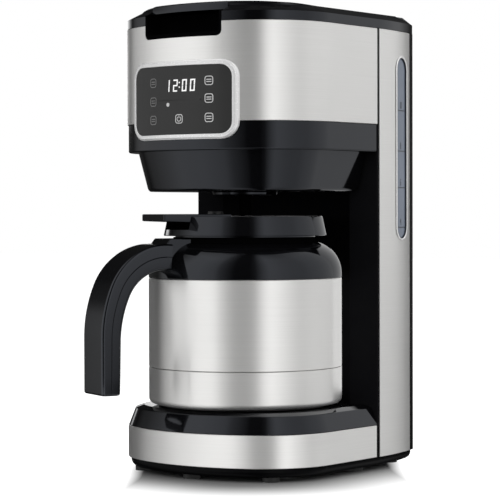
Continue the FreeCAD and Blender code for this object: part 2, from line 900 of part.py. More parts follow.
def make_heater_clamps():
    body = body_named("heater_clamps")
    inner = d.heater_radius + d.fit_gap
    outer = inner + d.clamp_sheet
    foot_z = heater_z - d.heater_radius
    for x, y in saddle_places():
        sketch = front_view(body, -y)
        outline(sketch, [
            (x + outer, foot_z), (x + outer, heater_z), (x, heater_z + outer, outer),
            (x - outer, heater_z, outer), (x - outer, foot_z), (x - inner, foot_z), (x - inner, heater_z),
            (x, heater_z + inner, -inner), (x + inner, heater_z, -inner), (x + inner, foot_z)])
        pad(sketch, d.saddle_length, symmetric=True)


def make_thermostat():
    body = body_named("thermostat")
    seat = heater_z + d.heater_radius + d.fit_gap
    pad(circle(plan(body, seat), 0, -d.heater_span, d.thermostat_radius), d.thermostat_height)


def make_thermal_fuse():
    body = body_named("thermal_fuse")
    z = heater_z + d.heater_radius + d.fit_gap + d.fuse_radius
    pad(circle(front_view(body), -d.heater_span, z, d.fuse_radius), d.fuse_length, symmetric=True)


elbow_face = riser_x - d.elbow_half


def make_hot_hose():
    body = body_named("hot_hose")
    start_y = d.heater_reach + d.fit_gap
    path = outline(plan(body, heater_z), [
        (-d.heater_span, start_y), (-d.heater_span, riser_y - d.hot_bend + d.fit_gap),
        (-d.heater_span - d.hot_bend + d.fit_gap, riser_y, d.hot_bend - d.fit_gap),
        (d.fit_gap - elbow_face, riser_y)], closed=False)
    section = circle(front_view(body, -start_y), -d.heater_span, heater_z, d.hose_radius)
    pipe(circle(section, -d.heater_span, heater_z, d.water_bore), path)


def make_riser_elbow():
    body = body_named("riser_elbow")
    half = d.elbow_half
    block = rectangle(plan(body, heater_z - half), -riser_x - half, half - riser_x,
                      riser_y - half, riser_y + half)
    pad(block, 2 * half)
    down = circle(plan(body, heater_z + half), -riser_x, riser_y, d.water_bore)
    pocket(down, half)
    across = circle(side_view(body, -elbow_face), riser_y, heater_z, d.water_bore)
    pocket(across, half)


def make_riser_tube():
    body = body_named("riser_tube")
    start = heater_z + d.elbow_half + d.fit_gap
    section = circle(plan(body, start), -riser_x, riser_y, d.riser_radius)
    pad(circle(section, -riser_x, riser_y, d.water_bore), riser_top - start)


def make_power_board():
    body = body_named("power_board")
    z = pan_floor + d.board_post_height
    half = d.power_board_width / 2
    depth = d.power_board_length / 2
    pad(rectangle(plan(body, z), -half, half, -depth, depth), d.board_thickness)
    relay = d.relay_width / 2
    pad(rectangle(plan(body, z + d.board_thickness), -relay, relay, -relay / 2, relay / 2), d.relay_height)


# Sight gauge, in a frame whose +X is the column side's normal at the gauge

def gauge_placement():
    lean = math.asin((gauge_y.number - seam_y.number) / d.side_radius.number)
    x = side_x_at(gauge_y, flush).number
    return Placement(Vector(x, gauge_y.number, 0), Rotation(Vector(0, 0, 1), math.degrees(lean)))


def make_gauge():
    low = d.gauge_low
    high = d.gauge_low + d.gauge_height
    depth = d.steel_sheet + d.plastic_wall + d.fit_gap
    window = body_named("gauge_window", gauge_placement())
    pad(stadium(side_view(window, -depth), 0, d.gauge_half_width, low, high), depth + d.gauge_ring_rise / 2)
    ring = body_named("gauge_ring", gauge_placement())
    rim = side_view(ring, d.fit_gap)
    grown = d.gauge_ring_width
    stadium(rim, 0, d.gauge_half_width + grown, low - grown, high + grown)
    stadium(rim, 0, d.gauge_half_width + d.fit_gap, low - d.fit_gap, high + d.fit_gap)
    pad(rim, d.gauge_ring_rise)


# Head

def notch_cut(body, top, depth):
    """The finger notch through a wall or rim at the front."""
    half = d.notch_half_width
    sketch = rectangle(plan(body, top), -half, half, -2 * d.nose_reach, d.fit_gap - d.notch_depth_reach)
    pocket(sketch, depth)


def make_head_shell():
    body = body_named("head_shell")
    pad(outline(plan(body, shell_z), front_wrap(flush, d.steel_sheet, d.seam_reach)), d.head_shell_height)
    notch_cut(body, shell_top, d.notch_drop)
    window = front_view(body)
    half = d.display_half_width - d.display_frame
    top = display_z + d.display_height - d.display_frame
    rectangle(window, -half, half, shell_z - d.head_band_height, top)
    pocket(window, wide, forward=True)


def make_head_housing():
    body = body_named("head_housing")
    rear = d.fit_gap
    inner = d.steel_sheet + d.fit_gap + d.plastic_wall
    band = outline(plan(body, head_z), front_wrap(d.head_band_inset, inner, d.seam_reach - rear))
    pad(band, d.head_band_height - d.fit_gap)
    liner = front_wrap(d.steel_sheet + d.fit_gap, inner, d.seam_reach - rear)
    pad(outline(plan(body, head_z), liner), shell_top - head_z)
    floor = outline(plan(body, head_z), bay_outline(d.head_band_inset, rear))
    pad(outline(floor, bay_outline(d.funnel_top_inset - d.fit_gap, rear + d.plastic_wall)), d.plastic_wall)
    notch_cut(body, shell_top, d.notch_drop)
    bosses = front_view(body, d.board_reach + d.board_thickness)
    for x, z in board_bosses():
        circle(bosses, x, z, d.board_boss_radius)
    pad(bosses, d.nose_reach - d.board_reach - d.board_thickness - d.steel_sheet - d.plastic_wall)


control_board_z = display_z + (d.display_height - d.control_board_height) / 2


def board_bosses():
    margin = d.board_boss_margin
    low = control_board_z + margin
    high = control_board_z + d.control_board_height - margin
    return [(0, low), (0, high)]


def make_funnel_housing():
    body = body_named("funnel_housing")
    rear = d.fit_gap + d.plastic_wall + d.fit_gap
    hollow = rear + d.plastic_wall
    wall = d.plastic_wall
    edge_z = funnel_z + d.funnel_edge
    flange_z = head_z + wall + d.fit_gap
    loft(outline(plan(body, edge_z), bay_outline(d.funnel_low_inset, rear)),
         outline(plan(body, head_z), bay_outline(d.funnel_top_inset, rear)))
    loft(outline(plan(body, funnel_z), bay_outline(d.funnel_low_inset + d.funnel_edge, rear + d.funnel_edge)),
         outline(plan(body, edge_z), bay_outline(d.funnel_low_inset, rear)))
    pad(outline(plan(body, head_z), bay_outline(d.funnel_top_inset, rear)), wall + d.fit_gap)
    pad(outline(plan(body, flange_z), bay_outline(d.funnel_flange_inset, rear)), wall)
    loft(outline(plan(body, funnel_z + wall), bay_outline(d.funnel_low_inset + wall, hollow)),
         outline(plan(body, head_z), bay_outline(d.funnel_top_inset + wall, hollow)), "SubtractiveLoft")
    mouth = outline(plan(body, flange_z + wall), bay_outline(d.funnel_top_inset + wall, hollow))
    pocket(mouth, 2 * wall + d.fit_gap)
    pocket(circle(plan(body, funnel_z), 0, 0, d.funnel_hole_radius), 2 * wall, forward=True)
    rim = circle(plan(body, funnel_z - d.drip_rim_drop), 0, 0, d.drip_rim_radius)
    pad(circle(rim, 0, 0, d.drip_rim_radius - wall), d.drip_rim_drop)


def make_filter_basket():
    body = body_named("filter_basket")
    low = d.basket_low_radius
    top = d.basket_top_radius
    high = basket_z + d.basket_height
    wall = d.basket_wall
    turned(outline(front_view(body), [
        (d.basket_hole_radius, basket_z), (low, basket_z), (top, high), (top - wall, high),
        (low - wall, basket_floor), (d.basket_hole_radius, basket_floor)]))


bridge_top = basket_floor + d.bridge_height


def make_valve_bridge():
    body = body_named("valve_bridge")
    outer = d.bridge_half_width
    inner = outer - d.bridge_sheet
    top = bridge_top
    low = basket_floor
    strap = outline(front_view(body), [
        (-outer, low), (-inner, low), (-inner, top - d.bridge_sheet), (inner, top - d.bridge_sheet),
        (inner, low), (outer, low), (outer, top), (-outer, top)])
    pad(strap, d.bridge_depth, symmetric=True)


stem_disc_z = basket_floor + d.run_gap
stem_disc_top = stem_disc_z + d.stem_disc_height


def make_drip_stop():
    stem = body_named("drip_stop_stem")
    tip = collar_top + d.run_gap
    turned(outline(front_view(stem), [
        (0, tip), (d.stem_radius - d.stem_tip_round, tip),
        (d.stem_radius, tip + d.stem_tip_round, d.stem_tip_round),
        (d.stem_radius, stem_disc_z), (d.stem_disc_radius, stem_disc_z), (d.stem_disc_radius, stem_disc_top),
        (d.guide_radius, stem_disc_top), (d.guide_radius, stem_disc_top + d.guide_height),
        (0, stem_disc_top + d.guide_height)]))
    start = stem_disc_top + d.fit_gap
    make_spring("drip_stop_spring", 0, start, bridge_top - d.bridge_sheet - d.fit_gap - start, Placement())


def make_spring(label, x, start, length, placement):
    """A compression spring: a round wire wound about a vertical axis at x."""
    axis = Vector(number_of(x), 0, 0)
    body = body_named(label, placement.multiply(Placement(axis, Rotation())))
    wire = d.spring_wire
    coil = feature(circle(front_view(body), d.spring_radius, start + wire, wire), "AdditiveHelix")
    coil.ReferenceAxis = (coil.Profile[0], ["V_Axis"])
    coil.Mode = "height-turns-angle"
    bind(coil, "Height", length - 2 * wire)
    bind(coil, "Turns", d.spring_turns)


# Display

def display_section(outer, inner, half_width):
    """A curved plate round the nose, between two distances from the steel's face."""
    centre = d.front_radius - d.nose_reach
    outer_radius = d.front_radius + outer
    inner_radius = d.front_radius + inner
    outer_y = centre - root(outer_radius * outer_radius - half_width * half_width)
    inner_y = centre - root(inner_radius * inner_radius - half_width * half_width)
    return [(-half_width, outer_y), (half_width, outer_y, outer_radius),
            (half_width, inner_y), (-half_width, inner_y, -inner_radius)]


def round_corners(body, half_width, low, high, radius):
    """Cuts a curved plate's corners round, seen from the front."""
    sketch = front_view(body)
    margin = 2 * radius
    rectangle(sketch, -half_width - margin, half_width + margin, low - margin, high + margin)
    rounded(sketch, -half_width, half_width, low, high, radius)
    pocket(sketch, wide, forward=True)


def make_display():
    half = d.display_half_width
    low = display_z
    high = display_z + d.display_height
    frame = d.display_frame
    bezel = body_named("display_bezel")
    pad(outline(plan(bezel, low), display_section(d.display_proud, d.fit_gap, half)), d.display_height)
    round_corners(bezel, half, low, high, d.display_corner)
    window = rounded(front_view(bezel), frame - half, half - frame, low + frame, high - frame,
                     d.display_corner - frame)
    pocket(window, wide, forward=True)
    glass = body_named("display_glass")
    inset = frame + d.fit_gap
    section = display_section(d.display_proud - d.glass_drop, d.fit_gap, half - inset)
    pad(outline(plan(glass, low + inset), section), d.display_height - 2 * inset)
    round_corners(glass, half - inset, low + inset, high - inset, d.display_corner - inset)


def make_control_board():
    body = body_named("control_board")
    half = d.control_board_half_width
    board = rectangle(front_view(body, d.board_reach), -half, half,
                      control_board_z, control_board_z + d.control_board_height)
    pad(board, d.board_thickness)


def make_notch_tray():
    body = body_named("notch_tray")
    half = d.notch_half_width - d.fit_gap
    wall = d.notch_wall
    radius = d.front_radius + d.notch_proud
    front_y = d.front_radius - d.nose_reach - root(radius * radius - half * half)
    back_y = -d.notch_depth_reach
    top = lid_seat_z - d.run_gap
    low = notch_z + d.fit_gap
    tray = [(-half, front_y), (half, front_y, radius), (half, back_y), (-half, back_y)]
    pad(outline(plan(body, low), tray), top - low)
    hollow = rectangle(plan(body, top), wall - half, half - wall, -2 * d.nose_reach, back_y - wall)
    pocket(hollow, top - low - wall)


# Lid and its frame

def frame_top_outline():
    """The rim's upper edge: close round the lid, and a little inside the back."""
    side_x = d.half_width - d.rim_inset
    corner = d.rim_rear_corner
    back_y = d.back_reach - d.rim_rear_inset
    rear_x = side_x - d.fit_gap
    side_y = back_y - corner
    return front_corners(d.rim_inset) + [
        (side_x, seam_y), (rear_x, side_y), (rear_x - corner, back_y, corner), (corner - rear_x, back_y),
        (-rear_x, side_y, corner), (-side_x, seam_y)]


def hinge_sides():
    return [d.hinge_ear_x, -d.hinge_ear_x - d.hinge_ear_width]


def make_top_frame():
    body = body_named("top_frame")
    slope_z = frame_z + d.frame_wall
    pad(outline(plan(body, frame_z), whole_outline(d.fit_gap)), d.frame_wall)
    loft(outline(plan(body, slope_z), whole_outline(d.fit_gap)),
         outline(plan(body, rim_top), frame_top_outline()))
    gap = d.run_gap
    seat = lid_outline(d.rim_inset + d.fit_gap, lid_rear_y + d.lid_rear_gap)
    opening = lid_outline(d.rim_inset + d.lid_ledge, lid_rear_y - d.lid_ledge)
    pocket(outline(plan(body, rim_top), seat), d.lid_seat + gap)
    pocket(outline(plan(body, rim_top), opening), wide)
    notch_cut(body, rim_top, wide)
    slots = plan(body, rim_top)
    bores = side_view(body)
    margin = d.hinge_slot_margin
    for x in hinge_sides():
        rectangle(slots, x - margin, x + d.hinge_ear_width + margin,
                  lid_rear_y - 2 * d.lid_ledge, hinge_y + d.hinge_ear_radius + margin)
    pocket(slots, wide)
    circle(bores, hinge_y, hinge_z, d.hinge_pin_radius + d.shaft_gap)
    reach = d.hinge_ear_x + d.hinge_ear_width + margin + d.hinge_pin_bite
    pocket(bores, 2 * reach, symmetric=True)


def make_hinge_pins():
    body = body_named("lid_hinge_pins")
    margin = d.hinge_slot_margin + d.hinge_pin_bite - d.fit_gap
    for x in hinge_sides():
        sketch = circle(side_view(body, x - margin), hinge_y, hinge_z, d.hinge_pin_radius)
        pad(sketch, d.hinge_ear_width + 2 * margin)


def make_lid():
    body = body_named("lid")
    edge = d.rim_inset + d.fit_gap + d.run_gap
    rear = lid_rear_y
    wall = d.plastic_wall
    pad(outline(plan(body, lid_seat_z), lid_outline(edge, rear)), d.lid_seat)
    loft(outline(plan(body, rim_top), lid_outline(edge, rear)),
         outline(plan(body, lid_top), lid_outline(d.lid_top_inset, rear - d.lid_ledge)))
    flat_z = rim_top + d.lid_flat_rise
    pocket(outline(side_view(body), [
        (-d.nose_reach, lid_top), (-d.lid_flat_reach, flat_z), (rear, flat_z),
        (rear, lid_top + wall), (-d.nose_reach, lid_top + wall)]), wide, symmetric=True)
    tab_half = d.notch_half_width - d.fit_gap
    tab_z = lid_top - d.lid_tab_height
    radius = d.front_radius - edge + d.lid_tab_proud
    tab_y = d.front_radius - d.nose_reach - root(radius * radius - tab_half * tab_half)
    tab = [(-tab_half, tab_y), (tab_half, tab_y, radius), (tab_half, -d.notch_depth_reach),
           (-tab_half, -d.notch_depth_reach)]
    pad(outline(plan(body, tab_z), tab), d.lid_tab_height - wall / 2)
    for x in hinge_sides():
        ear = side_view(body, x)
        radius = d.hinge_ear_radius
        outline(ear, [
            (rear - wall, hinge_z - radius), (hinge_y, hinge_z - radius),
            (hinge_y + radius, hinge_z, radius), (hinge_y, hinge_z + radius, radius),
            (rear - wall, hinge_z + radius)])
        pad(ear, d.hinge_ear_width)
    hollow = lid_outline(edge + wall, rear - wall)
    pocket(outline(plan(body, lid_seat_z), hollow), lid_top - wall - lid_seat_z - d.lid_ledge, forward=True)
    bore = circle(side_view(body), hinge_y, hinge_z, d.hinge_pin_radius + d.shaft_gap)
    pocket(bore, wide, symmetric=True)


lid_ceiling = lid_top - d.plastic_wall - d.lid_ledge


def make_spreader():
    body = body_named("spreader")
    disc_z = lid_seat_z - d.spreader_drop
    pad(circle(plan(body, disc_z), 0, 0, d.spreader_radius), d.spreader_height)
    pad(circle(plan(body, disc_z), 0, 0, d.spreader_hub_radius), lid_ceiling - disc_z)
    across = d.channel_width / 2
    span = root(riser_x * riser_x + riser_y * riser_y)
    side_x = across * riser_y / span
    side_y = across * riser_x / span
    over = (span + d.riser_radius) / span
    end_x = -riser_x * over
    end_y = riser_y * over
    channel = outline(plan(body, riser_top + d.run_gap), [
        (-side_x, -side_y), (side_x, side_y),
        (end_x + side_x, end_y + side_y), (end_x - side_x, end_y - side_y)])
    pad(channel, lid_ceiling - riser_top - d.run_gap)
    hole = circle(plan(body, disc_z), d.spreader_hole_circle, 0, d.spreader_hole_radius)
    drilled = pocket(hole, d.spreader_height, forward=True)
    document.recompute()
    ring = body.newObject("PartDesign::PolarPattern", "spreader_holes")
    ring.Originals = [drilled]
    ring.Axis = (hole, ["N_Axis"])
    ring.Angle = 360
    bind(ring, "Occurrences", d.spreader_hole_count)
    body.Tip = ring


# Carafe, in a frame whose +X points along the handle

carafe_place = Placement(Vector(0, 0, 0), Rotation(Vector(0, 0, 1), -90 - d.carafe_turn.number))


def carafe_body(label):
    return body_named(label, carafe_place)


def make_carafe_foot():
    body = carafe_body("carafe_foot")
    pad(circle(plan(body, carafe_z), 0, 0, d.carafe_foot_radius), d.carafe_foot_height)


def make_carafe_cup():
    body = carafe_body("carafe_cup")
    outer = d.carafe_radius
    corner = d.cup_corner
    sheet_z = cup_z + d.steel_sheet
    inner = outer - d.steel_sheet
    turned(outline(front_view(body), [
        (0, cup_z), (outer - corner, cup_z), (outer, cup_z + corner, corner), (outer, cup_top),
        (inner, cup_top), (inner, cup_z + corner), (outer - corner, sheet_z, d.steel_sheet - corner),
        (0, sheet_z)]))


def make_carafe_barrel():
    body = carafe_body("carafe_barrel")
    section = circle(plan(body, barrel_z), 0, 0, d.carafe_radius)
    pad(circle(section, 0, 0, d.carafe_radius - d.steel_sheet), d.barrel_height)


def make_carafe_liner():
    body = carafe_body("carafe_liner")
    wall = d.steel_sheet
    outer = d.liner_radius
    low = cup_z + d.liner_lift
    neck = d.neck_bore - d.fit_gap
    bevel = d.liner_bevel
    slope_z = shoulder_z - d.steel_sheet
    neck_z = slope_z + d.liner_slope
    turned(outline(front_view(body), [
        (0, low), (outer - bevel, low), (outer, low + bevel), (outer, slope_z), (neck, neck_z),
        (neck, neck_z + d.liner_neck), (neck - wall, neck_z + d.liner_neck), (neck - wall, neck_z - wall / 2),
        (outer - wall, slope_z - wall / 2), (outer - wall, low + bevel + wall / 2),
        (outer - bevel - wall / 2, low + wall), (0, low + wall)]))


def make_carafe_shoulder():
    body = carafe_body("carafe_shoulder")
    outer = d.carafe_radius
    rim = shoulder_z + d.shoulder_rim
    bend = d.shoulder_radius
    ring = d.neck_ring_radius
    ring_over = ring - outer + bend
    ring_z = rim + root(bend * bend - ring_over * ring_over)
    ring_top = collar_z - d.neck_ring_gap
    ring_inner = ring - d.neck_ring_wall
    under = shoulder_z + d.liner_slope
    inner = d.liner_radius + d.steel_sheet / 2
    turned(outline(front_view(body), [
        (inner, shoulder_z), (outer, shoulder_z), (outer, rim), (ring, ring_z, bend), (ring, ring_top),
        (ring_inner, ring_top), (ring_inner, neck_top), (d.neck_bore, neck_top),
        (d.neck_bore, under + d.fit_gap), (inner, shoulder_z + d.steel_sheet)]))
    boss_top = handle_top - d.fit_gap
    boss = rectangle(front_view(body), d.boss_root, d.handle_root - d.fit_gap,
                     boss_top - d.boss_height, boss_top)
    pad(boss, 2 * d.boss_half_width, symmetric=True)
    lip_z = neck_top - d.spout_drop
    spout = outline(front_view(body), [
        (-d.spout_root, lip_z - d.spout_height), (-d.spout_root, lip_z), (-d.spout_reach, lip_z),
        (-d.spout_under, lip_z - d.spout_height)])
    pad(spout, 2 * d.spout_half_width, symmetric=True)
    groove = rectangle(front_view(body), -d.spout_reach - d.spout_wall, -d.neck_radius - d.fit_gap,
                       lip_z - d.spout_wall, wide)
    pocket(groove, 2 * d.spout_groove_half, symmetric=True)


# Handle: two half shells along one line, that leaves the shoulder level and bends down in two arcs

handle_top = shoulder_top - d.fit_gap
handle_end = carafe_z + d.handle_foot


def handle_section(near, far):
    """The part of the handle between two depths below its outer face."""
    angle = d.handle_bend_angle
    rest = 90 - angle
    centre_z = handle_top - d.handle_bend
    blend = [(d.handle_root + (d.handle_bend - depth) * sine(angle),
              centre_z + (d.handle_bend - depth) * cosine(angle)) for depth in (near, far)]
    sweep_x = d.handle_root + d.handle_bend * sine(angle) - d.handle_sweep * cosine(rest)
    sweep_z = centre_z + d.handle_bend * cosine(angle) - d.handle_sweep * sine(rest)
    outer_x = sweep_x + d.handle_sweep - near
    inner_x = sweep_x + d.handle_sweep - far
    return [(d.handle_root, handle_top - near), (*blend[0], near - d.handle_bend),
            (outer_x, sweep_z, near - d.handle_sweep), (outer_x, handle_end), (inner_x, handle_end),
            (inner_x, sweep_z), (*blend[1], d.handle_sweep - far),
            (d.handle_root, handle_top - far, d.handle_bend - far)]


def make_handle():
    split = d.handle_thickness / 2
    for label, near, far in (("handle_outer", flush, split - d.fit_gap / 2),
                             ("handle_inner", split + d.fit_gap / 2, d.handle_thickness)):
        body = carafe_body(label)
        pad(outline(front_view(body), handle_section(near, far)), 2 * d.handle_half_width, symmetric=True)


# Carafe lid, thumb lever and pour valve

def make_carafe_lid():
    body = carafe_body("carafe_lid")
    plug = d.plug_radius
    wall = d.collar_wall
    step = d.neck_radius + d.fit_gap
    turned(outline(front_view(body), [
        (0, plug_z), (plug, plug_z), (plug, carafe_lid_z), (step, carafe_lid_z), (step, collar_z),
        (d.collar_low_radius, collar_z), (d.collar_top_radius, collar_top), (d.brew_dish_radius, collar_top),
        (d.brew_dish_radius, collar_top - d.plastic_wall),
        (d.collar_top_radius - wall, collar_top - d.plastic_wall),
        (d.collar_low_radius - wall, deck_top), (0, deck_top)]))
    chamber = plug - d.plug_wall
    turned(outline(front_view(body), [
        (0, chamber_floor), (chamber, chamber_floor), (chamber, carafe_lid_z), (0, carafe_lid_z)]), "Groove")
    slot = rectangle(plan(body, collar_top), d.lever_slot_root, wide,
                     -d.lever_half_width - d.run_gap, d.lever_half_width + d.run_gap)
    pocket(slot, d.lever_slot_depth)
    near = d.lever_half_width + d.run_gap
    for side in (1, -1):
        edges = (near, near + d.lug_width) if side == 1 else (-near - d.lug_width, -near)
        lug = rectangle(plan(body, deck_top), d.lever_pivot_reach - d.lug_length / 2,
                        d.lever_pivot_reach + d.lug_length / 2, *edges)
        pad(lug, collar_top - deck_top)
    bore = circle(front_view(body), d.lever_pivot_reach, lever_pivot_z, d.lever_pin_radius + d.shaft_gap)
    pocket(bore, 2 * (near + d.lug_width), symmetric=True)
    guide = circle(plan(body, deck_top), d.valve_reach, 0, d.valve_stem_radius + d.shaft_gap)
    pocket(circle(guide, 0, 0, d.brew_hole_radius), deck_top - carafe_lid_z)
    pocket(circle(plan(body, chamber_floor), d.valve_reach, 0, d.valve_port_radius), d.plastic_wall)


def make_lever_pin():
    body = carafe_body("lever_pin")
    length = 2 * (d.lever_half_width + d.run_gap + d.lug_width)
    pin = circle(front_view(body), d.lever_pivot_reach, lever_pivot_z, d.lever_pin_radius)
    pad(pin, length, symmetric=True)


def make_thumb_lever():
    body = carafe_body("thumb_lever")
    half = d.lever_half_width
    corner = d.lever_thickness
    tip = d.lever_tip_reach
    plate = outline(plan(body, lever_z), [
        (d.lever_root_reach, -half), (tip - corner, -half), (tip, corner - half, corner),
        (tip, half - corner), (tip - corner, half, corner), (d.lever_root_reach, half)])
    pad(plate, d.lever_thickness)
    fork = rectangle(plan(body, lever_top), 0, d.fork_reach, -d.fork_half_width, d.fork_half_width)
    pocket(fork, d.lever_thickness)
    bore = circle(front_view(body), d.lever_pivot_reach, lever_pivot_z, d.lever_pin_radius + d.shaft_gap)
    pocket(bore, 4 * half, symmetric=True)


valve_disc_z = chamber_floor + d.run_gap


def make_pour_valve():
    place = carafe_place.multiply(Placement(Vector(d.valve_reach.number, 0, 0), Rotation()))
    body = body_named("pour_valve", place)
    stem = d.valve_stem_radius
    disc_top = valve_disc_z + d.valve_disc_height
    head_z = lever_top + d.valve_head_gap
    head_top = head_z + d.valve_head_height
    turned(outline(front_view(body), [
        (0, valve_disc_z), (d.valve_disc_radius, valve_disc_z), (d.valve_disc_radius, disc_top),
        (stem, disc_top), (stem, head_z), (d.valve_head_radius, head_z),
        (d.valve_head_radius, head_top), (0, head_top)]))
    start = disc_top + d.fit_gap
    make_spring("pour_valve_spring", d.valve_reach, start, carafe_lid_z - d.fit_gap - start, carafe_place)


def make_all():
    make_feet()
    make_base_pan()
    make_base_screws()
    make_base_band()
    make_base_top()
    make_column_core()
    make_side_panels()
    make_rear_cover()
    make_cord_bushing()
    make_water_tank()
    make_check_valve()
    make_cold_hose()
    make_heater()
    make_heater_clamps()
    make_thermostat()
    make_thermal_fuse()
    make_hot_hose()
    make_riser_elbow()
    make_riser_tube()
    make_power_board()
    make_gauge()
    make_head_shell()
    make_head_housing()
    make_funnel_housing()
    make_filter_basket()
    make_valve_bridge()
    make_drip_stop()
    make_display()
    make_control_board()
    make_notch_tray()
    make_top_frame()
    make_hinge_pins()
    make_lid()
    make_spreader()
    make_carafe_foot()
    make_carafe_cup()
    make_carafe_barrel()
    make_carafe_liner()
    make_carafe_shoulder()
    make_handle()
    make_carafe_lid()
    make_lever_pin()
    make_thumb_lever()
    make_pour_valve()


def check_document():
    """Stops if a feature failed, a cut removed nothing, or a sub-part is not a sound solid."""
    for item in document.Objects:
        if "Invalid" in item.State or "Error" in item.State:
            raise RuntimeError(f"{item.Label} failed: {item.State}")
    for item in document.Objects:
        if item.TypeId in ("PartDesign::Pocket", "PartDesign::Groove", "PartDesign::SubtractiveLoft"):
            if item.Shape.Volume >= item.BaseFeature.Shape.Volume - 0.01:
                raise RuntimeError(f"{item.Label} cuts nothing")
    for body in parts:
        if body.Shape.isNull() or not body.Shape.isValid() or not body.Shape.Solids:
            raise RuntimeError(f"{body.Label} is not a sound solid")


make_all()
document.recompute()
check_document()
os.makedirs("parts", exist_ok=True)
for body in parts:
    body.Shape.exportStep(os.path.join("parts", body.Label + ".step"))
print(len(parts), "sub-parts written")
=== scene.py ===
import math

import bpy
from mathutils import Matrix, Vector


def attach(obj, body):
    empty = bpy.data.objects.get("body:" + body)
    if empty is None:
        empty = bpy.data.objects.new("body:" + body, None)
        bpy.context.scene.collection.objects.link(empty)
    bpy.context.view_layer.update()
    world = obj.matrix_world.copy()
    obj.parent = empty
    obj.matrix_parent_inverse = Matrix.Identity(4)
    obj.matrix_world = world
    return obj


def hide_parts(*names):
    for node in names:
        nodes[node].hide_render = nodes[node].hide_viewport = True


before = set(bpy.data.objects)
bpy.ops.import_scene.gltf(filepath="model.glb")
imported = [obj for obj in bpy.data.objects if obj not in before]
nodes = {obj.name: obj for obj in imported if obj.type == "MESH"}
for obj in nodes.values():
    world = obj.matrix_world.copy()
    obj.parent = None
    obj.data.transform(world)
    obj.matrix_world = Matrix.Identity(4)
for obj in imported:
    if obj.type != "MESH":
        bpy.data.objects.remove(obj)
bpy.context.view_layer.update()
mm = 0.001
print("frame loaded:", len(nodes), "nodes")


# Selecting and editing, as by hand

def deselectAll():
    if bpy.context.object and bpy.context.object.mode != "OBJECT":
        bpy.ops.object.mode_set(mode="OBJECT")
    bpy.ops.object.select_all(action="DESELECT")


def makeActive(piece):
    deselectAll()
    piece.select_set(True)
    bpy.context.view_layer.objects.active = piece


def pickVertices(piece, wanted):
    mesh = piece.data
    mesh.polygons.foreach_set("select", [False] * len(mesh.polygons))
    mesh.edges.foreach_set("select", [False] * len(mesh.edges))
    flags = [False] * len(mesh.vertices)
    for index in wanted:
        flags[index] = True
    mesh.vertices.foreach_set("select", flags)


def placeRing(piece, first, ring):
    for step, point in enumerate(ring):
        piece.data.vertices[first + step].co = Vector(point) * mm


def mergeAndTurnOut(piece):
    makeActive(piece)
    bpy.ops.object.mode_set(mode="EDIT")
    bpy.ops.mesh.select_all(action="SELECT")
    bpy.ops.mesh.remove_doubles(threshold=0.002 * mm)
    bpy.ops.mesh.normals_make_consistent(inside=False)
    bpy.ops.object.mode_set(mode="OBJECT")


def stackRings(name, rings, ends="cap"):
    # A circle's edge is set on the first outline, then extruded from outline to outline
    deselectAll()
    count = len(rings[0])
    bpy.ops.mesh.primitive_circle_add(vertices=count, radius=mm)
    piece = bpy.context.object
    piece.name = name
    piece.data.name = name
    placeRing(piece, 0, rings[0])
    for step in range(1, len(rings)):
        last = (step - 1) * count
        pickVertices(piece, range(last, last + count))
        bpy.ops.object.mode_set(mode="EDIT")
        bpy.ops.mesh.select_mode(type="VERT")
        bpy.ops.mesh.extrude_region_move()
        bpy.ops.object.mode_set(mode="OBJECT")
        placeRing(piece, step * count, rings[step])
    last = (len(rings) - 1) * count
    if ends == "cap":
        for first in (0, last):
            pickVertices(piece, range(first, first + count))
            bpy.ops.object.mode_set(mode="EDIT")
            bpy.ops.mesh.edge_face_add()
            bpy.ops.object.mode_set(mode="OBJECT")
    if ends == "loop":
        pickVertices(piece, list(range(count)) + list(range(last, last + count)))
        bpy.ops.object.mode_set(mode="EDIT")
        bpy.ops.mesh.bridge_edge_loops()
        bpy.ops.object.mode_set(mode="OBJECT")
    mergeAndTurnOut(piece)
    return piece


def applyModifier(piece, kind, **settings):
    makeActive(piece)
    modifier = piece.modifiers.new(kind.lower(), kind)
    for name, value in settings.items():
        setattr(modifier, name, value)
    bpy.ops.object.modifier_apply(modifier=modifier.name)


def bevelEdges(piece, width, segments=3, angle=35.0):
    applyModifier(piece, "BEVEL", width=width * mm, segments=segments, limit_method="ANGLE",
                  angle_limit=math.radians(angle))


def cutAway(piece, cutter):
    applyModifier(piece, "BOOLEAN", operation="DIFFERENCE", object=cutter, solver="EXACT")
    bpy.data.objects.remove(cutter)


def joinPieces(name, pieces):
    makeActive(pieces[0])
    for piece in pieces:
        piece.select_set(True)
    bpy.ops.object.join()
    pieces[0].name = name
    pieces[0].data.name = name
    return pieces[0]


def finishPiece(piece, body, material, stands=(), angle=30.0):
    makeActive(piece)
    bpy.ops.object.shade_smooth_by_angle(angle=math.radians(angle))
    applyModifier(piece, "WEIGHTED_NORMAL", keep_sharp=True)
    piece.data.materials.clear()
    piece.data.materials.append(material)
    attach(piece, body)
    if stands:
        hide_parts(*stands)


def copyOfNode(name, node):
    # The node's mesh is loose triangles, so the copy is merged before anything else
    makeActive(nodes[node])
    bpy.ops.object.duplicate()
    piece = bpy.context.object
    piece.name = name
    piece.data.name = name
    piece.parent = None
    for key in list(piece.keys()):
        del piece[key]
    bpy.ops.mesh.customdata_custom_splitnormals_clear()
    bpy.ops.object.mode_set(mode="EDIT")
    bpy.ops.mesh.select_all(action="SELECT")
    bpy.ops.mesh.remove_doubles(threshold=0.002 * mm)
    bpy.ops.mesh.dissolve_limited(angle_limit=math.radians(0.5))
    bpy.ops.object.mode_set(mode="OBJECT")
    return piece


# Outlines in plan, in millimetres, each set in from the housing's outer face

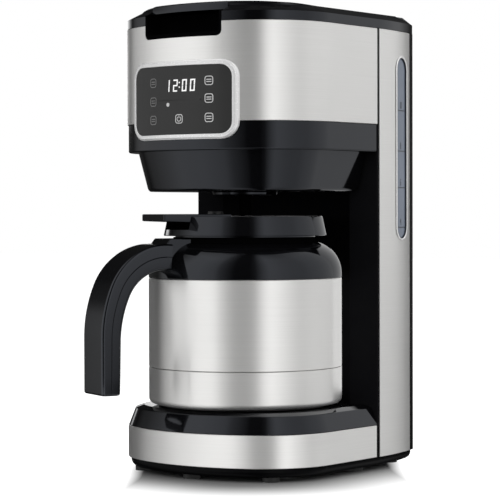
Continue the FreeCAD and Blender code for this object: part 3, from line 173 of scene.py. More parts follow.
housing = {
    "halfWidth": 83.5, "nose": 75.4, "frontRadius": 118.7, "cornerRadius": 58.5, "seam": 48.0, "strip": 50.6,
    "sideRadius": 180.0, "panelRear": 100.5, "back": 113.2, "rearCorner": 8.0, "bay": 76.0,
}


def arcRun(x, y, radius, start, end, steps):
    angles = [start + (end - start) * step / steps for step in range(steps + 1)]
    return [(x + radius * math.cos(angle), y + radius * math.sin(angle)) for angle in angles]


def lineRun(start, end, steps):
    return [(start[0] + (end[0] - start[0]) * step / steps, start[1] + (end[1] - start[1]) * step / steps)
            for step in range(steps + 1)]


def mirrored(run):
    return [(-x, y) for x, y in reversed(run)]


def lifted(run, z):
    return [(x, y, z) for x, y in run]


noseCentre = housing["frontRadius"] - housing["nose"]
cornerX = housing["halfWidth"] - housing["cornerRadius"]
cornerTurn = math.acos(cornerX / (housing["frontRadius"] - housing["cornerRadius"]))
cornerY = noseCentre - (housing["frontRadius"] - housing["cornerRadius"]) * math.sin(cornerTurn)


def frontRun(inset):
    corner = arcRun(cornerX, cornerY, housing["cornerRadius"] - inset, -cornerTurn, 0, 16)
    nose = arcRun(0, noseCentre, housing["frontRadius"] - inset, cornerTurn - math.pi, -cornerTurn, 24)
    return mirrored(corner)[:-1] + nose + corner[1:]


def wrapRun(outer, inner, rear):
    outerX = housing["halfWidth"] - outer
    innerX = housing["halfWidth"] - inner
    return ([(-outerX, rear)] + frontRun(outer) + [(outerX, rear), (innerX, rear)]
            + frontRun(inner)[::-1] + [(-innerX, rear)])


def bayRun(inset, rearInset):
    rear = housing["seam"] - rearInset
    radius = housing["bay"] - rearInset
    start = math.asin(rear / radius)
    sideX = housing["halfWidth"] - inset
    hollow = arcRun(0, 0, radius, start, math.pi - start, 40)
    return frontRun(inset) + [(sideX, rear)] + hollow + [(-sideX, rear)]


sideCentre = housing["halfWidth"] - housing["sideRadius"]
rearCentreY = housing["back"] - housing["rearCorner"]
rearTurn = math.asin((rearCentreY - housing["strip"]) / (housing["sideRadius"] - housing["rearCorner"]))
rearCentreX = sideCentre + (housing["sideRadius"] - housing["rearCorner"]) * math.cos(rearTurn)


def sideAngle(y, inset):
    return math.asin((y - housing["strip"]) / (housing["sideRadius"] - inset))


def wholeRun(inset):
    side = arcRun(sideCentre, housing["strip"], housing["sideRadius"] - inset, 0, rearTurn, 12)
    corner = arcRun(rearCentreX, rearCentreY, housing["rearCorner"] - inset, rearTurn, math.pi / 2, 6)
    right = side + corner[1:]
    return frontRun(inset) + right + mirrored(right)


def lidRun(inset, rear, corner):
    sideX = housing["halfWidth"] - inset
    right = arcRun(sideX - corner, rear - corner, corner, 0, math.pi / 2, 6)
    return frontRun(inset) + right + mirrored(right)


def roundedRun(halfWidth, low, high, radius, across, up):
    # A rounded rectangle seen from the front, with points along its straight edges too
    left, right = -halfWidth, halfWidth
    bottom = lineRun((left + radius, low), (right - radius, low), across)
    rightSide = lineRun((right, low + radius), (right, high - radius), up)
    top = lineRun((right - radius, high), (left + radius, high), across)
    leftSide = lineRun((left, high - radius), (left, low + radius), up)
    quarter = math.pi / 2
    corners = [arcRun(right - radius, low + radius, radius, -quarter, 0, 6),
               arcRun(right - radius, high - radius, radius, 0, quarter, 6),
               arcRun(left + radius, high - radius, radius, quarter, 2 * quarter, 6),
               arcRun(left + radius, low + radius, radius, 2 * quarter, 3 * quarter, 6)]
    run = []
    for edge, corner in zip((bottom, rightSide, top, leftSide), corners):
        run += edge + corner[1:-1]
    return run


def stadiumRun(halfWidth, low, high, grow=0.0):
    radius = halfWidth + grow
    top = arcRun(0, high - halfWidth, radius, 0, math.pi, 16)
    bottom = arcRun(0, low + halfWidth, radius, math.pi, 2 * math.pi, 16)
    return top + bottom


def circleRing(radius, z, count=96):
    return [(radius * math.cos(2 * math.pi * step / count), radius * math.sin(2 * math.pi * step / count), z)
            for step in range(count)]


def latheRings(profile, count=96):
    return [circleRing(radius, z, count) for radius, z in profile]


def roundDown(inset, z, radius, steps=4):
    # Profile points from the level z over a rounded lower edge to a wall at inset
    angles = [math.pi / 2 * step / steps for step in range(steps, -1, -1)]
    return [(inset + radius * (1 - math.cos(angle)), z + radius * (1 - math.sin(angle))) for angle in angles]


# Shared surface effects

white = (1.0, 1.0, 1.0, 1.0)


def grey(level):
    return (level, level, level)


def newGroup(name, inputs, outputs):
    group = bpy.data.node_groups.new(name, "ShaderNodeTree")
    for label, kind, value in inputs:
        socket = group.interface.new_socket(label, in_out="INPUT", socket_type=kind)
        socket.default_value = value
    for label, kind in outputs:
        group.interface.new_socket(label, in_out="OUTPUT", socket_type=kind)
    return group, group.nodes.new("NodeGroupInput"), group.nodes.new("NodeGroupOutput")


def addNode(tree, kind, **settings):
    node = tree.nodes.new(kind)
    for name, value in settings.items():
        setattr(node, name, value)
    return node


def setInputs(node, values):
    for label, value in values.items():
        node.inputs[label].default_value = value


def addMath(tree, operation, first, second):
    node = addNode(tree, "ShaderNodeMath", operation=operation)
    for index, item in enumerate((first, second)):
        if isinstance(item, bpy.types.NodeSocket):
            tree.links.new(item, node.inputs[index])
        else:
            node.inputs[index].default_value = item
    return node.outputs[0]


def makeBrushLines():
    # Fine lines along the sheet's length: short in z, long round the wrap
    group, given, put = newGroup(
        "brushLines", [("Length", "NodeSocketFloat", 14.0), ("Fineness", "NodeSocketFloat", 2600.0)],
        [("Lines", "NodeSocketFloat"), ("Clouds", "NodeSocketFloat")])
    coords = addNode(group, "ShaderNodeTexCoord")
    stretch = addNode(group, "ShaderNodeCombineXYZ")
    for axis, label in (("X", "Length"), ("Y", "Length"), ("Z", "Fineness")):
        group.links.new(given.outputs[label], stretch.inputs[axis])
    scaled = addNode(group, "ShaderNodeVectorMath", operation="MULTIPLY")
    group.links.new(coords.outputs["Object"], scaled.inputs[0])
    group.links.new(stretch.outputs[0], scaled.inputs[1])
    lines = addNode(group, "ShaderNodeTexNoise")
    setInputs(lines, {"Scale": 1.0, "Detail": 4.0, "Roughness": 0.65})
    group.links.new(scaled.outputs[0], lines.inputs["Vector"])
    group.links.new(lines.outputs[0], put.inputs["Lines"])
    clouds = addNode(group, "ShaderNodeTexNoise")
    setInputs(clouds, {"Scale": 38.0, "Detail": 2.0})
    group.links.new(coords.outputs["Object"], clouds.inputs["Vector"])
    group.links.new(clouds.outputs[0], put.inputs["Clouds"])
    return group


def makeMouldGrain():
    # The faint pebbling and flow of moulded plastic
    group, given, put = newGroup(
        "mouldGrain", [("Pebble", "NodeSocketFloat", 1800.0), ("Flow", "NodeSocketFloat", 30.0)],
        [("Pebbles", "NodeSocketFloat"), ("Flows", "NodeSocketFloat")])
    coords = addNode(group, "ShaderNodeTexCoord")
    for label, scale, detail in (("Pebbles", "Pebble", 2.0), ("Flows", "Flow", 3.0)):
        noise = addNode(group, "ShaderNodeTexNoise")
        setInputs(noise, {"Detail": detail})
        group.links.new(coords.outputs["Object"], noise.inputs["Vector"])
        group.links.new(given.outputs[scale], noise.inputs["Scale"])
        group.links.new(noise.outputs[0], put.inputs[label])
    return group


brushLines = makeBrushLines()
mouldGrain = makeMouldGrain()


def newMaterial(name):
    material = bpy.data.materials.new(name)
    material.use_nodes = True
    return material, material.node_tree, material.node_tree.nodes["Principled BSDF"]


def placeGroup(tree, group, **values):
    node = addNode(tree, "ShaderNodeGroup", node_tree=group)
    setInputs(node, values)
    return node


def rangeOf(tree, socket, low, high, start=0.3, end=0.7):
    node = addNode(tree, "ShaderNodeMapRange")
    tree.links.new(socket, node.inputs["Value"])
    setInputs(node, {"From Min": start, "From Max": end, "To Min": low, "To Max": high})
    return node.outputs[0]


def mixColours(tree, socket, low, high):
    node = addNode(tree, "ShaderNodeMix", data_type="RGBA")
    tree.links.new(socket, node.inputs["Factor"])
    node.inputs["A"].default_value = (*low, 1.0)
    node.inputs["B"].default_value = (*high, 1.0)
    return node.outputs["Result"]


def bumpFrom(tree, shader, socket, strength, depth, turn=0.0):
    bump = addNode(tree, "ShaderNodeBump")
    if turn:  # reflections are shifted round by twice this angle
        surface = addNode(tree, "ShaderNodeNewGeometry")
        swing = addNode(tree, "ShaderNodeVectorRotate", rotation_type="Z_AXIS")
        setInputs(swing, {"Angle": math.radians(turn)})
        tree.links.new(surface.outputs["Normal"], swing.inputs["Vector"])
        tree.links.new(swing.outputs[0], bump.inputs["Normal"])
    setInputs(bump, {"Strength": strength, "Distance": depth * mm})
    tree.links.new(socket, bump.inputs["Height"])
    tree.links.new(bump.outputs[0], shader.inputs["Normal"])


def brushedSteel(name, dark, light, rough, spread, fineness, metal=1.0, turn=0.0):
    material, tree, shader = newMaterial(name)
    brush = placeGroup(tree, brushLines, Length=14.0, Fineness=fineness)
    tree.links.new(mixColours(tree, rangeOf(tree, brush.outputs["Lines"], 0.0, 1.0), dark, light),
                   shader.inputs["Base Color"])
    tree.links.new(addMath(tree, "ADD", rangeOf(tree, brush.outputs["Lines"], -0.02, 0.02),
                           rangeOf(tree, brush.outputs["Clouds"], rough - 0.015, rough + 0.015)),
                   shader.inputs["Roughness"])
    setInputs(shader, {"Metallic": metal, "Anisotropic": spread, "Anisotropic Rotation": 0.25})
    tangent = addNode(tree, "ShaderNodeTangent", direction_type="RADIAL", axis="Z")
    tree.links.new(tangent.outputs[0], shader.inputs["Tangent"])
    bumpFrom(tree, shader, brush.outputs["Lines"], 0.02, 0.05, turn)
    return material


def mouldedPlastic(name, dark, light, rough, pebble, bump, gloss=0.5, tint=(1.0, 1.0, 1.0), turn=0.0):
    material, tree, shader = newMaterial(name)
    grain = placeGroup(tree, mouldGrain, Pebble=pebble, Flow=30.0)
    tree.links.new(mixColours(tree, rangeOf(tree, grain.outputs["Flows"], 0.0, 1.0), dark, light),
                   shader.inputs["Base Color"])
    tree.links.new(rangeOf(tree, grain.outputs["Pebbles"], rough - 0.03, rough + 0.03),
                   shader.inputs["Roughness"])
    setInputs(shader, {"Specular IOR Level": gloss, "Specular Tint": (*tint, 1.0)})
    bumpFrom(tree, shader, grain.outputs["Pebbles"], bump, 0.02, turn)
    return material


reflectionGlow = {"edge": 4.0, "turnLow": 78.0, "turnHigh": 88.0, "apart": 5.0}


def glowInReflections(material, low, high, level, reach):
    # Painted reflection: between two heights, and nearer than reach, the piece glows white for glossy rays
    # only, so steel close by shows white where it would mirror the dark piece
    tree = material.node_tree
    shader = tree.nodes["Principled BSDF"]
    coords = addNode(tree, "ShaderNodeTexCoord")
    parts = addNode(tree, "ShaderNodeSeparateXYZ")
    tree.links.new(coords.outputs["Object"], parts.inputs[0])
    path = addNode(tree, "ShaderNodeLightPath")
    height = parts.outputs["Z"]
    edge = reflectionGlow["edge"]
    above = rangeOf(tree, height, 0.0, level, low * mm, (low + edge) * mm)
    below = rangeOf(tree, height, 1.0, 0.0, (high - edge) * mm, high * mm)
    reaching = rangeOf(tree, height, reach[0] * mm, reach[1] * mm,
                       reflectionGlow["turnLow"] * mm, reflectionGlow["turnHigh"] * mm)
    near = addMath(tree, "LESS_THAN", path.outputs["Ray Length"], reaching)
    apart = addMath(tree, "GREATER_THAN", path.outputs["Ray Length"], reflectionGlow["apart"] * mm)
    within = addMath(tree, "MULTIPLY", above, below)
    shown = addMath(tree, "MULTIPLY", within, addMath(tree, "MULTIPLY", near, apart))
    tree.links.new(addMath(tree, "MULTIPLY", path.outputs["Is Glossy Ray"], shown),
                   shader.inputs["Emission Strength"])
    setInputs(shader, {"Emission Color": white})


steel = {"dark": (0.84, 0.835, 0.82), "light": (0.89, 0.885, 0.87), "rough": 0.32, "spread": 0.8,
         "lines": 2600.0, "metal": 0.7}


def steelSheet(name, turn):
    return brushedSteel(name, steel["dark"], steel["light"], steel["rough"], steel["spread"], steel["lines"],
                        steel["metal"], turn)


panelSteel = steelSheet("panelSteel", 0.0)
headSteel = steelSheet("headSteel", 4.0)
baseSteel = steelSheet("baseSteel", -5.0)
carafeSteel = steelSheet("carafeSteel", -4.5)
innerSteel = brushedSteel("innerSteel", grey(0.5), grey(0.6), 0.3, 0.4, 1200.0)
coolGloss = (0.84, 0.89, 1.0)
blackTones = ((0.002, 0.002, 0.0025), (0.003, 0.003, 0.0035))
blackGloss = mouldedPlastic("blackGloss", *blackTones, 0.07, 1200.0, 0.004, tint=coolGloss)
handleBlack = mouldedPlastic("handleBlack", *blackTones, 0.12, 1500.0, 0.006, 0.65, coolGloss)
# painted reflection: the handle glows white in the carafe's steel
glowInReflections(handleBlack, 40.0, 140.0, 0.9, (48.4, 75.0))
carafeBlack = mouldedPlastic("carafeBlack", *blackTones, 0.07, 1200.0, 0.004, tint=coolGloss, turn=-4.5)
bayBlack = mouldedPlastic("bayBlack", (0.007, 0.007, 0.008), (0.009, 0.009, 0.01), 0.5, 1500.0, 0.004, 0.0)
# painted reflection: the bay's wall glows white in the carafe's steel close to it
glowInReflections(bayBlack, 54.0, 196.0, 0.75, (60.0, 60.0))
# Black plastic with its gloss taken away: painted shade for parts that sit in shade, the carafe's neck under
# its lid, the spout, the notch's recess and the drip stem and valve bridge under the head
blackInShade = mouldedPlastic("blackInShade", (0.002, 0.002, 0.0022), (0.003, 0.003, 0.0032), 0.3, 1500.0, 0.01,
                           0.0)
blackSatin = mouldedPlastic("blackSatin", *blackTones, 0.08, 1500.0, 0.006, tint=coolGloss)
darkMatte = mouldedPlastic("darkMatte", (0.008, 0.008, 0.009), (0.014, 0.014, 0.015), 0.4, 1500.0, 0.05)
panBlack = mouldedPlastic("panBlack", *blackTones, 0.25, 1500.0, 0.01, 0.04)
rubberFoot = mouldedPlastic("rubberFoot", grey(0.003), grey(0.004), 0.65, 900.0, 0.1)
siliconeHose = mouldedPlastic("siliconeHose", (0.62, 0.61, 0.57), (0.72, 0.71, 0.67), 0.45, 900.0, 0.05)
boardMask = mouldedPlastic("boardMask", (0.03, 0.14, 0.06), (0.05, 0.2, 0.09), 0.4, 700.0, 0.05)
heaterCast = mouldedPlastic("heaterCast", grey(0.45), grey(0.58), 0.42, 600.0, 0.15)
gaugeTint = mouldedPlastic("gaugeTint", (0.19, 0.225, 0.285), (0.22, 0.255, 0.325), 0.22, 700.0, 0.01)
tankTint = mouldedPlastic("tankTint", (0.2, 0.22, 0.26), (0.24, 0.26, 0.3), 0.3, 700.0, 0.02)
glassBlack = mouldedPlastic("glassBlack", grey(0.038), grey(0.042), 0.12, 500.0, 0.0, 0.2)
silverTrim = mouldedPlastic("silverTrim", grey(0.97), grey(0.99), 0.25, 900.0, 0.0)
setInputs(silverTrim.node_tree.nodes["Principled BSDF"], {"Metallic": 0.25})
printWhite = mouldedPlastic("printWhite", grey(0.9), grey(0.95), 0.5, 500.0, 0.0)
printKey = mouldedPlastic("printKey", grey(0.6), grey(0.66), 0.5, 500.0, 0.0)
printGrey = mouldedPlastic("printGrey", grey(0.22), grey(0.26), 0.5, 500.0, 0.0)
gaugeInk = mouldedPlastic("gaugeInk", (0.02, 0.022, 0.03), (0.026, 0.028, 0.036), 0.5, 500.0, 0.0)
for lit, glow in ((printWhite, 0.45), (printKey, 0.12)):  # the display is lit from behind
    setInputs(lit.node_tree.nodes["Principled BSDF"], {"Emission Color": white, "Emission Strength": glow})

# The nodes that are shown as they come
nodeFinish = {
    innerSteel: ["carafe_liner", "base_screws", "lid_hinge_pins", "lever_pin", "drip_stop_spring",
                 "pour_valve_spring", "heater_clamps"],
    bayBlack: ["column_core"],
    blackInShade: ["drip_stop_stem", "valve_bridge"],
    blackGloss: ["rear_cover"],
    darkMatte: ["filter_basket", "spreader", "pour_valve"],
    rubberFoot: ["feet", "cord_bushing"],
    tankTint: ["water_tank"],
    heaterCast: ["heater", "thermostat"],
    siliconeHose: ["cold_hose", "hot_hose", "check_valve", "riser_elbow", "riser_tube", "thermal_fuse"],
    boardMask: ["power_board", "control_board"],
}
for finish, names in nodeFinish.items():
    for name in names:
        nodes[name].data.materials.clear()
        nodes[name].data.materials.append(finish)
print("finishes made")


# Base

base = {"low": 10.0, "bandTop": 33.0, "top": 47.5, "lowInset": 0.6, "topInset": 6.0, "edge": 2.4, "roll": 6.5,
        "sheet": 1.0, "gap": 1.4, "lip": 0.35}
# Inset and height round what is cut off the pan's lower edge
panEdge = ((-3.0, 2.0), (-3.0, 7.8), (1.9, 7.8), (2.3, 6.4), (3.2, 4.8), (5.0, 3.4), (5.0, 2.0))


def sheetLevels(low, top, lip):
    # Height and pull-in of a sheet whose two edges are broken
    return ((low, lip), (low + lip, 0.0), (top - lip, 0.0), (top, lip))


def makeBasePan():
    # The pan's lower edge rolls in towards the feet
    pan = copyOfNode("basePan", "base_pan")
    cutAway(pan, stackRings("panEdge", [lifted(wholeRun(inset), z) for inset, z in panEdge], "loop"))
    finishPiece(pan, "machine", panBlack, ["base_pan"])


def makeBaseBand():
    rear = housing["seam"] - base["gap"]
    levels = sheetLevels(base["low"], base["bandTop"], base["lip"])
    rings = [lifted(wrapRun(pull, base["sheet"] - pull / 3, rear), z) for z, pull in levels]
    band = stackRings("baseBand", rings)
    finishPiece(band, "machine", baseSteel, ["base_band"])


def makeBasePlatform():
    low, top, foot = base["bandTop"], base["top"], base["lowInset"]
    slope = (base["topInset"] - foot) / (top - low)
    edge = top - base["edge"]
    shoulder = foot + slope * (edge - low)
    back = shoulder + base["roll"]
    # the slope up to a crisp break, then a gentle rise
    profile = [(foot + 0.5, low), (foot, low + 0.5), (shoulder, edge), (shoulder + 0.2, edge + 0.3),
               (shoulder + 0.6, edge + 0.5), (back - 1.0, top - 0.2), (back, top)]
    rings = [lifted(bayRun(inset, 0.2 + (0.6 if z > top - 0.5 else 0.0)), z) for inset, z in profile]
    platform = stackRings("basePlatform", rings)
    finishPiece(platform, "machine", blackGloss, ["base_top"])


makeBaseBand()
makeBasePlatform()
makeBasePan()
print("base made")


# Column

column = {"low": 10.0, "top": 319.0, "sheet": 1.0, "gap": 0.2, "lip": 0.3}
gauge = {"y": 84.0, "half": 8.6, "low": 167.5, "high": 299.5, "ring": 1.6, "margin": 1.2, "slot": 6.0}
gaugeLean = sideAngle(gauge["y"], 0.0)
gaugeX = sideCentre + housing["sideRadius"] * math.cos(gaugeLean)


def onGauge(across, height, out):
    # Across and up the column's right side at the gauge, and out along its normal
    cos, sin = math.cos(gaugeLean), math.sin(gaugeLean)
    return (gaugeX - sin * across + cos * out, gauge["y"] + cos * across + sin * out, height)


def gaugeRings(profile):
    rings = []
    for grow, out in profile:
        run = stadiumRun(gauge["half"], gauge["low"], gauge["high"], grow)
        rings.append([onGauge(across, height, out) for across, height in run])
    return rings


def panelRun(pull):
    front = housing["strip"] + column["gap"] + pull
    rear = housing["panelRear"] - pull
    sheet = column["sheet"]
    outer = arcRun(sideCentre, housing["strip"], housing["sideRadius"] - pull,
                   sideAngle(front, pull), sideAngle(rear, pull), 24)
    inner = arcRun(sideCentre, housing["strip"], housing["sideRadius"] - sheet,
                   sideAngle(front, sheet), sideAngle(rear, sheet), 24)
    return outer + inner[::-1]


def makeSidePanels():
    levels = sheetLevels(column["low"], column["top"], column["lip"])
    rings = [lifted(panelRun(pull), z) for z, pull in levels]
    right = stackRings("sidePanelRight", rings)
    slot = ((gauge["margin"], -gauge["slot"]), (gauge["margin"], gauge["slot"]))
    cutAway(right, stackRings("gaugeSlot", gaugeRings(slot)))
    finishPiece(right, "machine", panelSteel, ["side_panel_right"])
    left = stackRings("sidePanelLeft", [[(-x, y, z) for x, y, z in ring] for ring in rings])
    finishPiece(left, "machine", panelSteel, ["side_panel_left"])


def makeGauge():
    ring = gauge["ring"]
    profile = ((0.1, 0.1), (0.2, 0.5), (0.45, 0.65), (ring - 0.5, 0.65), (ring - 0.15, 0.5), (ring, 0.1))
    rim = stackRings("gaugeRim", gaugeRings(profile), "loop")
    finishPiece(rim, "machine", silverTrim, ["gauge_ring"], 50.0)
    profile = ((-0.1, -3.6), (0.0, -3.5), (0.0, -1.0), (-0.4, -0.8), (-1.2, -0.7))
    window = stackRings("gaugeWindow", gaugeRings(profile))
    finishPiece(window, "machine", gaugeTint, ["gauge_window"])
    # painted shadow: a thin ring in the gauge's ink round the window, where shade falls at the recess's edge
    wall = ((-0.15, -1.2), (-0.15, 0.3), (0.15, 0.3), (0.15, -1.2))
    lip = stackRings("gaugeShadowLine", gaugeRings(wall), "loop")
    finishPiece(lip, "machine", gaugeInk)


marks = {"levels": (175.6, 204.7, 231.5, 261.2), "half": 7.6, "thick": 0.6, "proud": -0.64, "film": 0.14,
         "digits": ("4", "6", "8", "10"), "height": 4.6, "pitch": 0.55, "share": 0.75, "stroke": 0.5,
         "rise": 1.6}
segments = {"0": "abcdef", "1": "bc", "2": "abdeg", "4": "bcfg", "6": "acdefg", "8": "abcdefg"}


def segmentBars(width, height, thick):
    # The seven bars of a clock digit, each as left, low, right, high
    middle = height / 2
    gap = thick * 0.12
    return {"a": (gap, height - thick, width - gap, height), "d": (gap, 0, width - gap, thick),
            "g": (gap, middle - thick / 2, width - gap, middle + thick / 2),
            "b": (width - thick, middle + gap, width, height - gap),
            "c": (width - thick, gap, width, middle - gap),
            "f": (0, middle + gap, thick, height - gap), "e": (0, gap, thick, middle - gap)}


def barCorners(left, low, right, high):
    return [(left, low), (right, low), (right, high), (left, high)]


def makeGaugeMarks():
    bars = []
    half, thick = marks["half"], marks["thick"]
    wide = marks["height"] * marks["pitch"]
    for level, text in zip(marks["levels"], marks["digits"]):
        bars.append((-half, level - thick / 2, half, level + thick / 2))
        start = -len(text) * wide / 2
        foot = level + marks["rise"]
        for place, digit in enumerate(text):
            left = start + place * wide
            for name, bar in segmentBars(wide * marks["share"], marks["height"], marks["stroke"]).items():
                if name in segments[digit]:
                    bars.append((left + bar[0], foot + bar[1], left + bar[2], foot + bar[3]))
    levels = (marks["proud"] - marks["film"], marks["proud"])
    pieces = [stackRings("mark", [[onGauge(x, z, out) for x, z in barCorners(*bar)] for out in levels])
              for bar in bars]
    finishPiece(joinPieces("gaugeMarks", pieces), "machine", gaugeInk)


makeSidePanels()
makeGauge()
makeGaugeMarks()
print("column made")


# Head

head = {"low": 230.0, "shellLow": 250.0, "top": 319.0, "bandInset": 0.8, "sheet": 1.0, "liner": 3.7,
        "funnelLow": 202.0, "funnelEdge": 204.0, "lowInset": 14.5, "topInset": 8.0, "rear": 2.9, "lip": 0.35,
        "rearShare": 0.36}
notch = {"half": 34.4, "low": 308.7, "depth": 55.0, "corner": 4.0, "trayTop": 326.2, "cutTop": 345.0,
         "cutFront": -120.0}


def notchCutter():
    run = roundedRun(notch["half"], notch["low"], notch["cutTop"], notch["corner"], 1, 1)
    rear = 0.2 - notch["depth"]
    return stackRings("notchCut", [[(x, y, z) for x, z in run] for y in (notch["cutFront"], rear)])


def notchSection(half, low, corner):
    # A shallow dish seen from the front: rounded below, closed by a straight line above
    quarter = math.pi / 2
    right = arcRun(half - corner, low + corner, corner, -quarter, 0, 6)
    left = [(-x, z) for x, z in reversed(right)]
    bottom = lineRun((corner - half, low), (half - corner, low), 24)
    top = lineRun((half, notch["trayTop"]), (-half, notch["trayTop"]), 24)
    return left[:-1] + bottom + right[1:] + top


def onNose(x, z, out):
    radius = housing["frontRadius"] + out
    return (x, noseCentre - math.sqrt(radius * radius - x * x), z)


def makeHeadShell():
    levels = sheetLevels(head["shellLow"], head["top"], head["lip"])
    rings = [lifted(wrapRun(pull, head["sheet"] - pull / 3, housing["seam"]), z) for z, pull in levels]
    shell = stackRings("headShell", rings)
    cutAway(shell, notchCutter())
    finishPiece(shell, "machine", headSteel, ["head_shell"])


def makeHeadHousing():
    inset, liner = head["bandInset"], head["liner"]
    low, seam, top = head["low"], head["shellLow"] - 0.2, head["top"] - 0.2
    ceiling = low + 2.5
    edge = head["topInset"] - 0.2
    profile = roundDown(inset, low, 1.2) + [(inset, seam - 0.2), (inset + 0.3, seam), (1.2, seam), (1.2, top),
                                            (liner, top), (liner, ceiling), (edge, ceiling), (edge, low)]
    rings = []
    for offset, z in profile:
        rings.append(lifted(bayRun(offset, 0.2 + max(offset - inset, 0.0) * head["rearShare"]), z))
    body = stackRings("headHousing", rings, "loop")
    cutAway(body, notchCutter())
    finishPiece(body, "machine", blackSatin, ["head_housing"])


def ringWithin(run, radius, z):
    # A circle with a point for each point of the outline, in the same direction from the axis
    return [(radius * x / math.hypot(x, y), radius * y / math.hypot(x, y), z) for x, y in run]


funnelSpout = {"hole": 12.0, "lip": 23.5, "drop": 2.6, "wall": 2.5}


def makeFunnel():
    rear, wall, hole, lip = head["rear"], funnelSpout["wall"], funnelSpout["hole"], funnelSpout["lip"]
    wide, narrow = head["topInset"], head["lowInset"]
    top, edge, low = head["low"], head["funnelEdge"], head["funnelLow"]
    tip = low - funnelSpout["drop"]
    rim = top + 2.6
    outer = [lifted(bayRun(wide, rear), rim), lifted(bayRun(wide, rear), top)]
    for more, z in ((0.0, edge + 0.4), (0.6, edge - 0.9), (1.4, low + 0.3), (2.0, low)):
        outer.append(lifted(bayRun(narrow + more, rear + more), z))
    floorRun = bayRun(narrow + 2.0, rear + 2.0)
    under = [ringWithin(floorRun, radius, z) for radius, z in (
        (lip + 0.8, low), (lip, low - 0.8), (lip - 0.3, tip + 0.4), (lip - 0.9, tip), (lip - 2.4, tip),
        (lip - 2.9, low - 0.4), (hole, low - 0.4), (hole, low + wall))]
    inner = [lifted(bayRun(narrow + wall, rear + wall), low + wall),
             lifted(bayRun(wide + wall, rear + wall), rim)]
    funnel = stackRings("funnel", outer + under + inner, "loop")
    finishPiece(funnel, "machine", blackSatin, ["funnel_housing"])


def makeNotchTray():
    outer = notchSection(notch["half"] - 0.2, notch["low"] + 0.2, notch["corner"])
    lip = notchSection(notch["half"] - 0.5, notch["low"] + 0.5, notch["corner"])
    inner = notchSection(notch["half"] - 1.8, notch["low"] + 3.0, notch["corner"] - 1.0)
    soft = notchSection(notch["half"] - 1.4, notch["low"] + 2.6, notch["corner"] - 0.7)
    rear = -notch["depth"] + 0.1

    def ring(run, out):
        return [onNose(x, z, out) for x, z in run]

    rings = [[(x, rear, z) for x, z in outer], ring(outer, 0.0), ring(lip, 0.4), ring(soft, 0.4),
             ring(inner, 0.0), [(x, rear - 1.6, z) for x, z in inner]]
    tray = stackRings("notchTray", rings)
    finishPiece(tray, "machine", blackInShade, ["notch_tray"])


makeHeadShell()
makeHeadHousing()
makeFunnel()
makeNotchTray()
print("head made")


# Display

display = {"half": 46.9, "low": 237.5, "high": 292.5, "proud": 3.0, "frame": 3.6, "corner": 12.0,
           "glassDrop": 0.5}


def displayRing(inset, out):
    run = roundedRun(display["half"] - inset, display["low"] + inset, display["high"] - inset,
                     max(display["corner"] - inset, 0.6), 30, 10)
    return [onNose(x, z, out) for x, z in run]


def makeBezel():
    proud, wide = display["proud"], display["frame"]
    profile = [(0.0, 0.2), (0.0, proud - 1.3), (0.25, proud - 0.9), (0.75, proud - 0.75), (0.85, proud - 0.3),
               (1.2, proud), (wide - 0.5, proud), (wide - 0.15, proud - 0.15), (wide, proud - 0.5),
               (wide, 0.2)]
    bezel = stackRings("displayBezel", [displayRing(inset, out) for inset, out in profile], "loop")
    finishPiece(bezel, "machine", silverTrim, ["display_bezel"], 40.0)


def makeGlass():
    out = display["proud"] - display["glassDrop"]
    start = display["frame"] + 0.15
    profile = [(start, 0.2), (start, out - 0.15), (start + 0.15, out)]
    profile += [(start + extra, out) for extra in (4.0, 9.0, 14.0, 19.0, 23.5)]
    glass = stackRings("displayGlass", [displayRing(inset, level) for inset, level in profile])
    finishPiece(glass, "machine", glassBlack, ["display_glass"])


printed = (2.35, 2.56)  # back and face of what is printed, out from the head


def printPatch(name, run):
    return stackRings(name, [[onNose(x, z, out) for x, z in run] for out in printed])


def printFrame(name, x, z, half, radius, thick):
    low, high = printed
    outer = roundedRun(half, -half, half, radius, 2, 2)
    inner = roundedRun(half - thick, thick - half, half - thick, max(radius - thick, 0.2), 2, 2)
    rings = []
    for run, out in ((outer, low), (outer, high), (inner, high), (inner, low)):
        rings.append([onNose(x + across, z + up, out) for across, up in run])
    return stackRings(name, rings, "loop")


clock = {"digits": (("1", -10.2), ("2", -2.9), ("0", 5.0), ("0", 11.8)), "low": 270.9, "height": 8.4,
         "wide": 4.0, "thick": 0.95, "lean": 0.07, "colon": 2.4, "dot": 1.0, "dotRise": (0.3, 0.68)}


def makeClock():
    pieces = []
    low, lean, dot = clock["low"], clock["lean"], clock["dot"]
    for share in clock["dotRise"]:
        foot = low + clock["height"] * share
        corners = barCorners(0, 0, dot, dot)
        pieces.append(printPatch("dot", [(clock["colon"] + x, foot + z) for x, z in corners]))
    for sign, start in clock["digits"]:
        for name, bar in segmentBars(clock["wide"], clock["height"], clock["thick"]).items():
            if name in segments[sign]:
                run = [(start + x + lean * z, low + z) for x, z in barCorners(*bar)]
                pieces.append(printPatch("bar", run))
    finishPiece(joinPieces("clockDigits", pieces), "machine", printWhite)


keys = {"left": (-22.5, (277.7, 264.5, 251.6)), "right": (26.9, (277.8, 265.6, 252.3)),
        "half": 3.2, "radius": 1.8, "line": 0.55, "stroke": 1.9, "strokeHalf": 0.3,
        "strokeRise": (-0.75, 0.75)}
power = {"x": 2.5, "z": 251.9, "outer": 1.9, "inner": 1.4, "from": 125, "to": 415,
         "bar": (-0.27, 0.5, 0.27, 2.3)}
signal = {"x": -7.6, "z": 262.0, "radius": 1.4, "sides": 24}


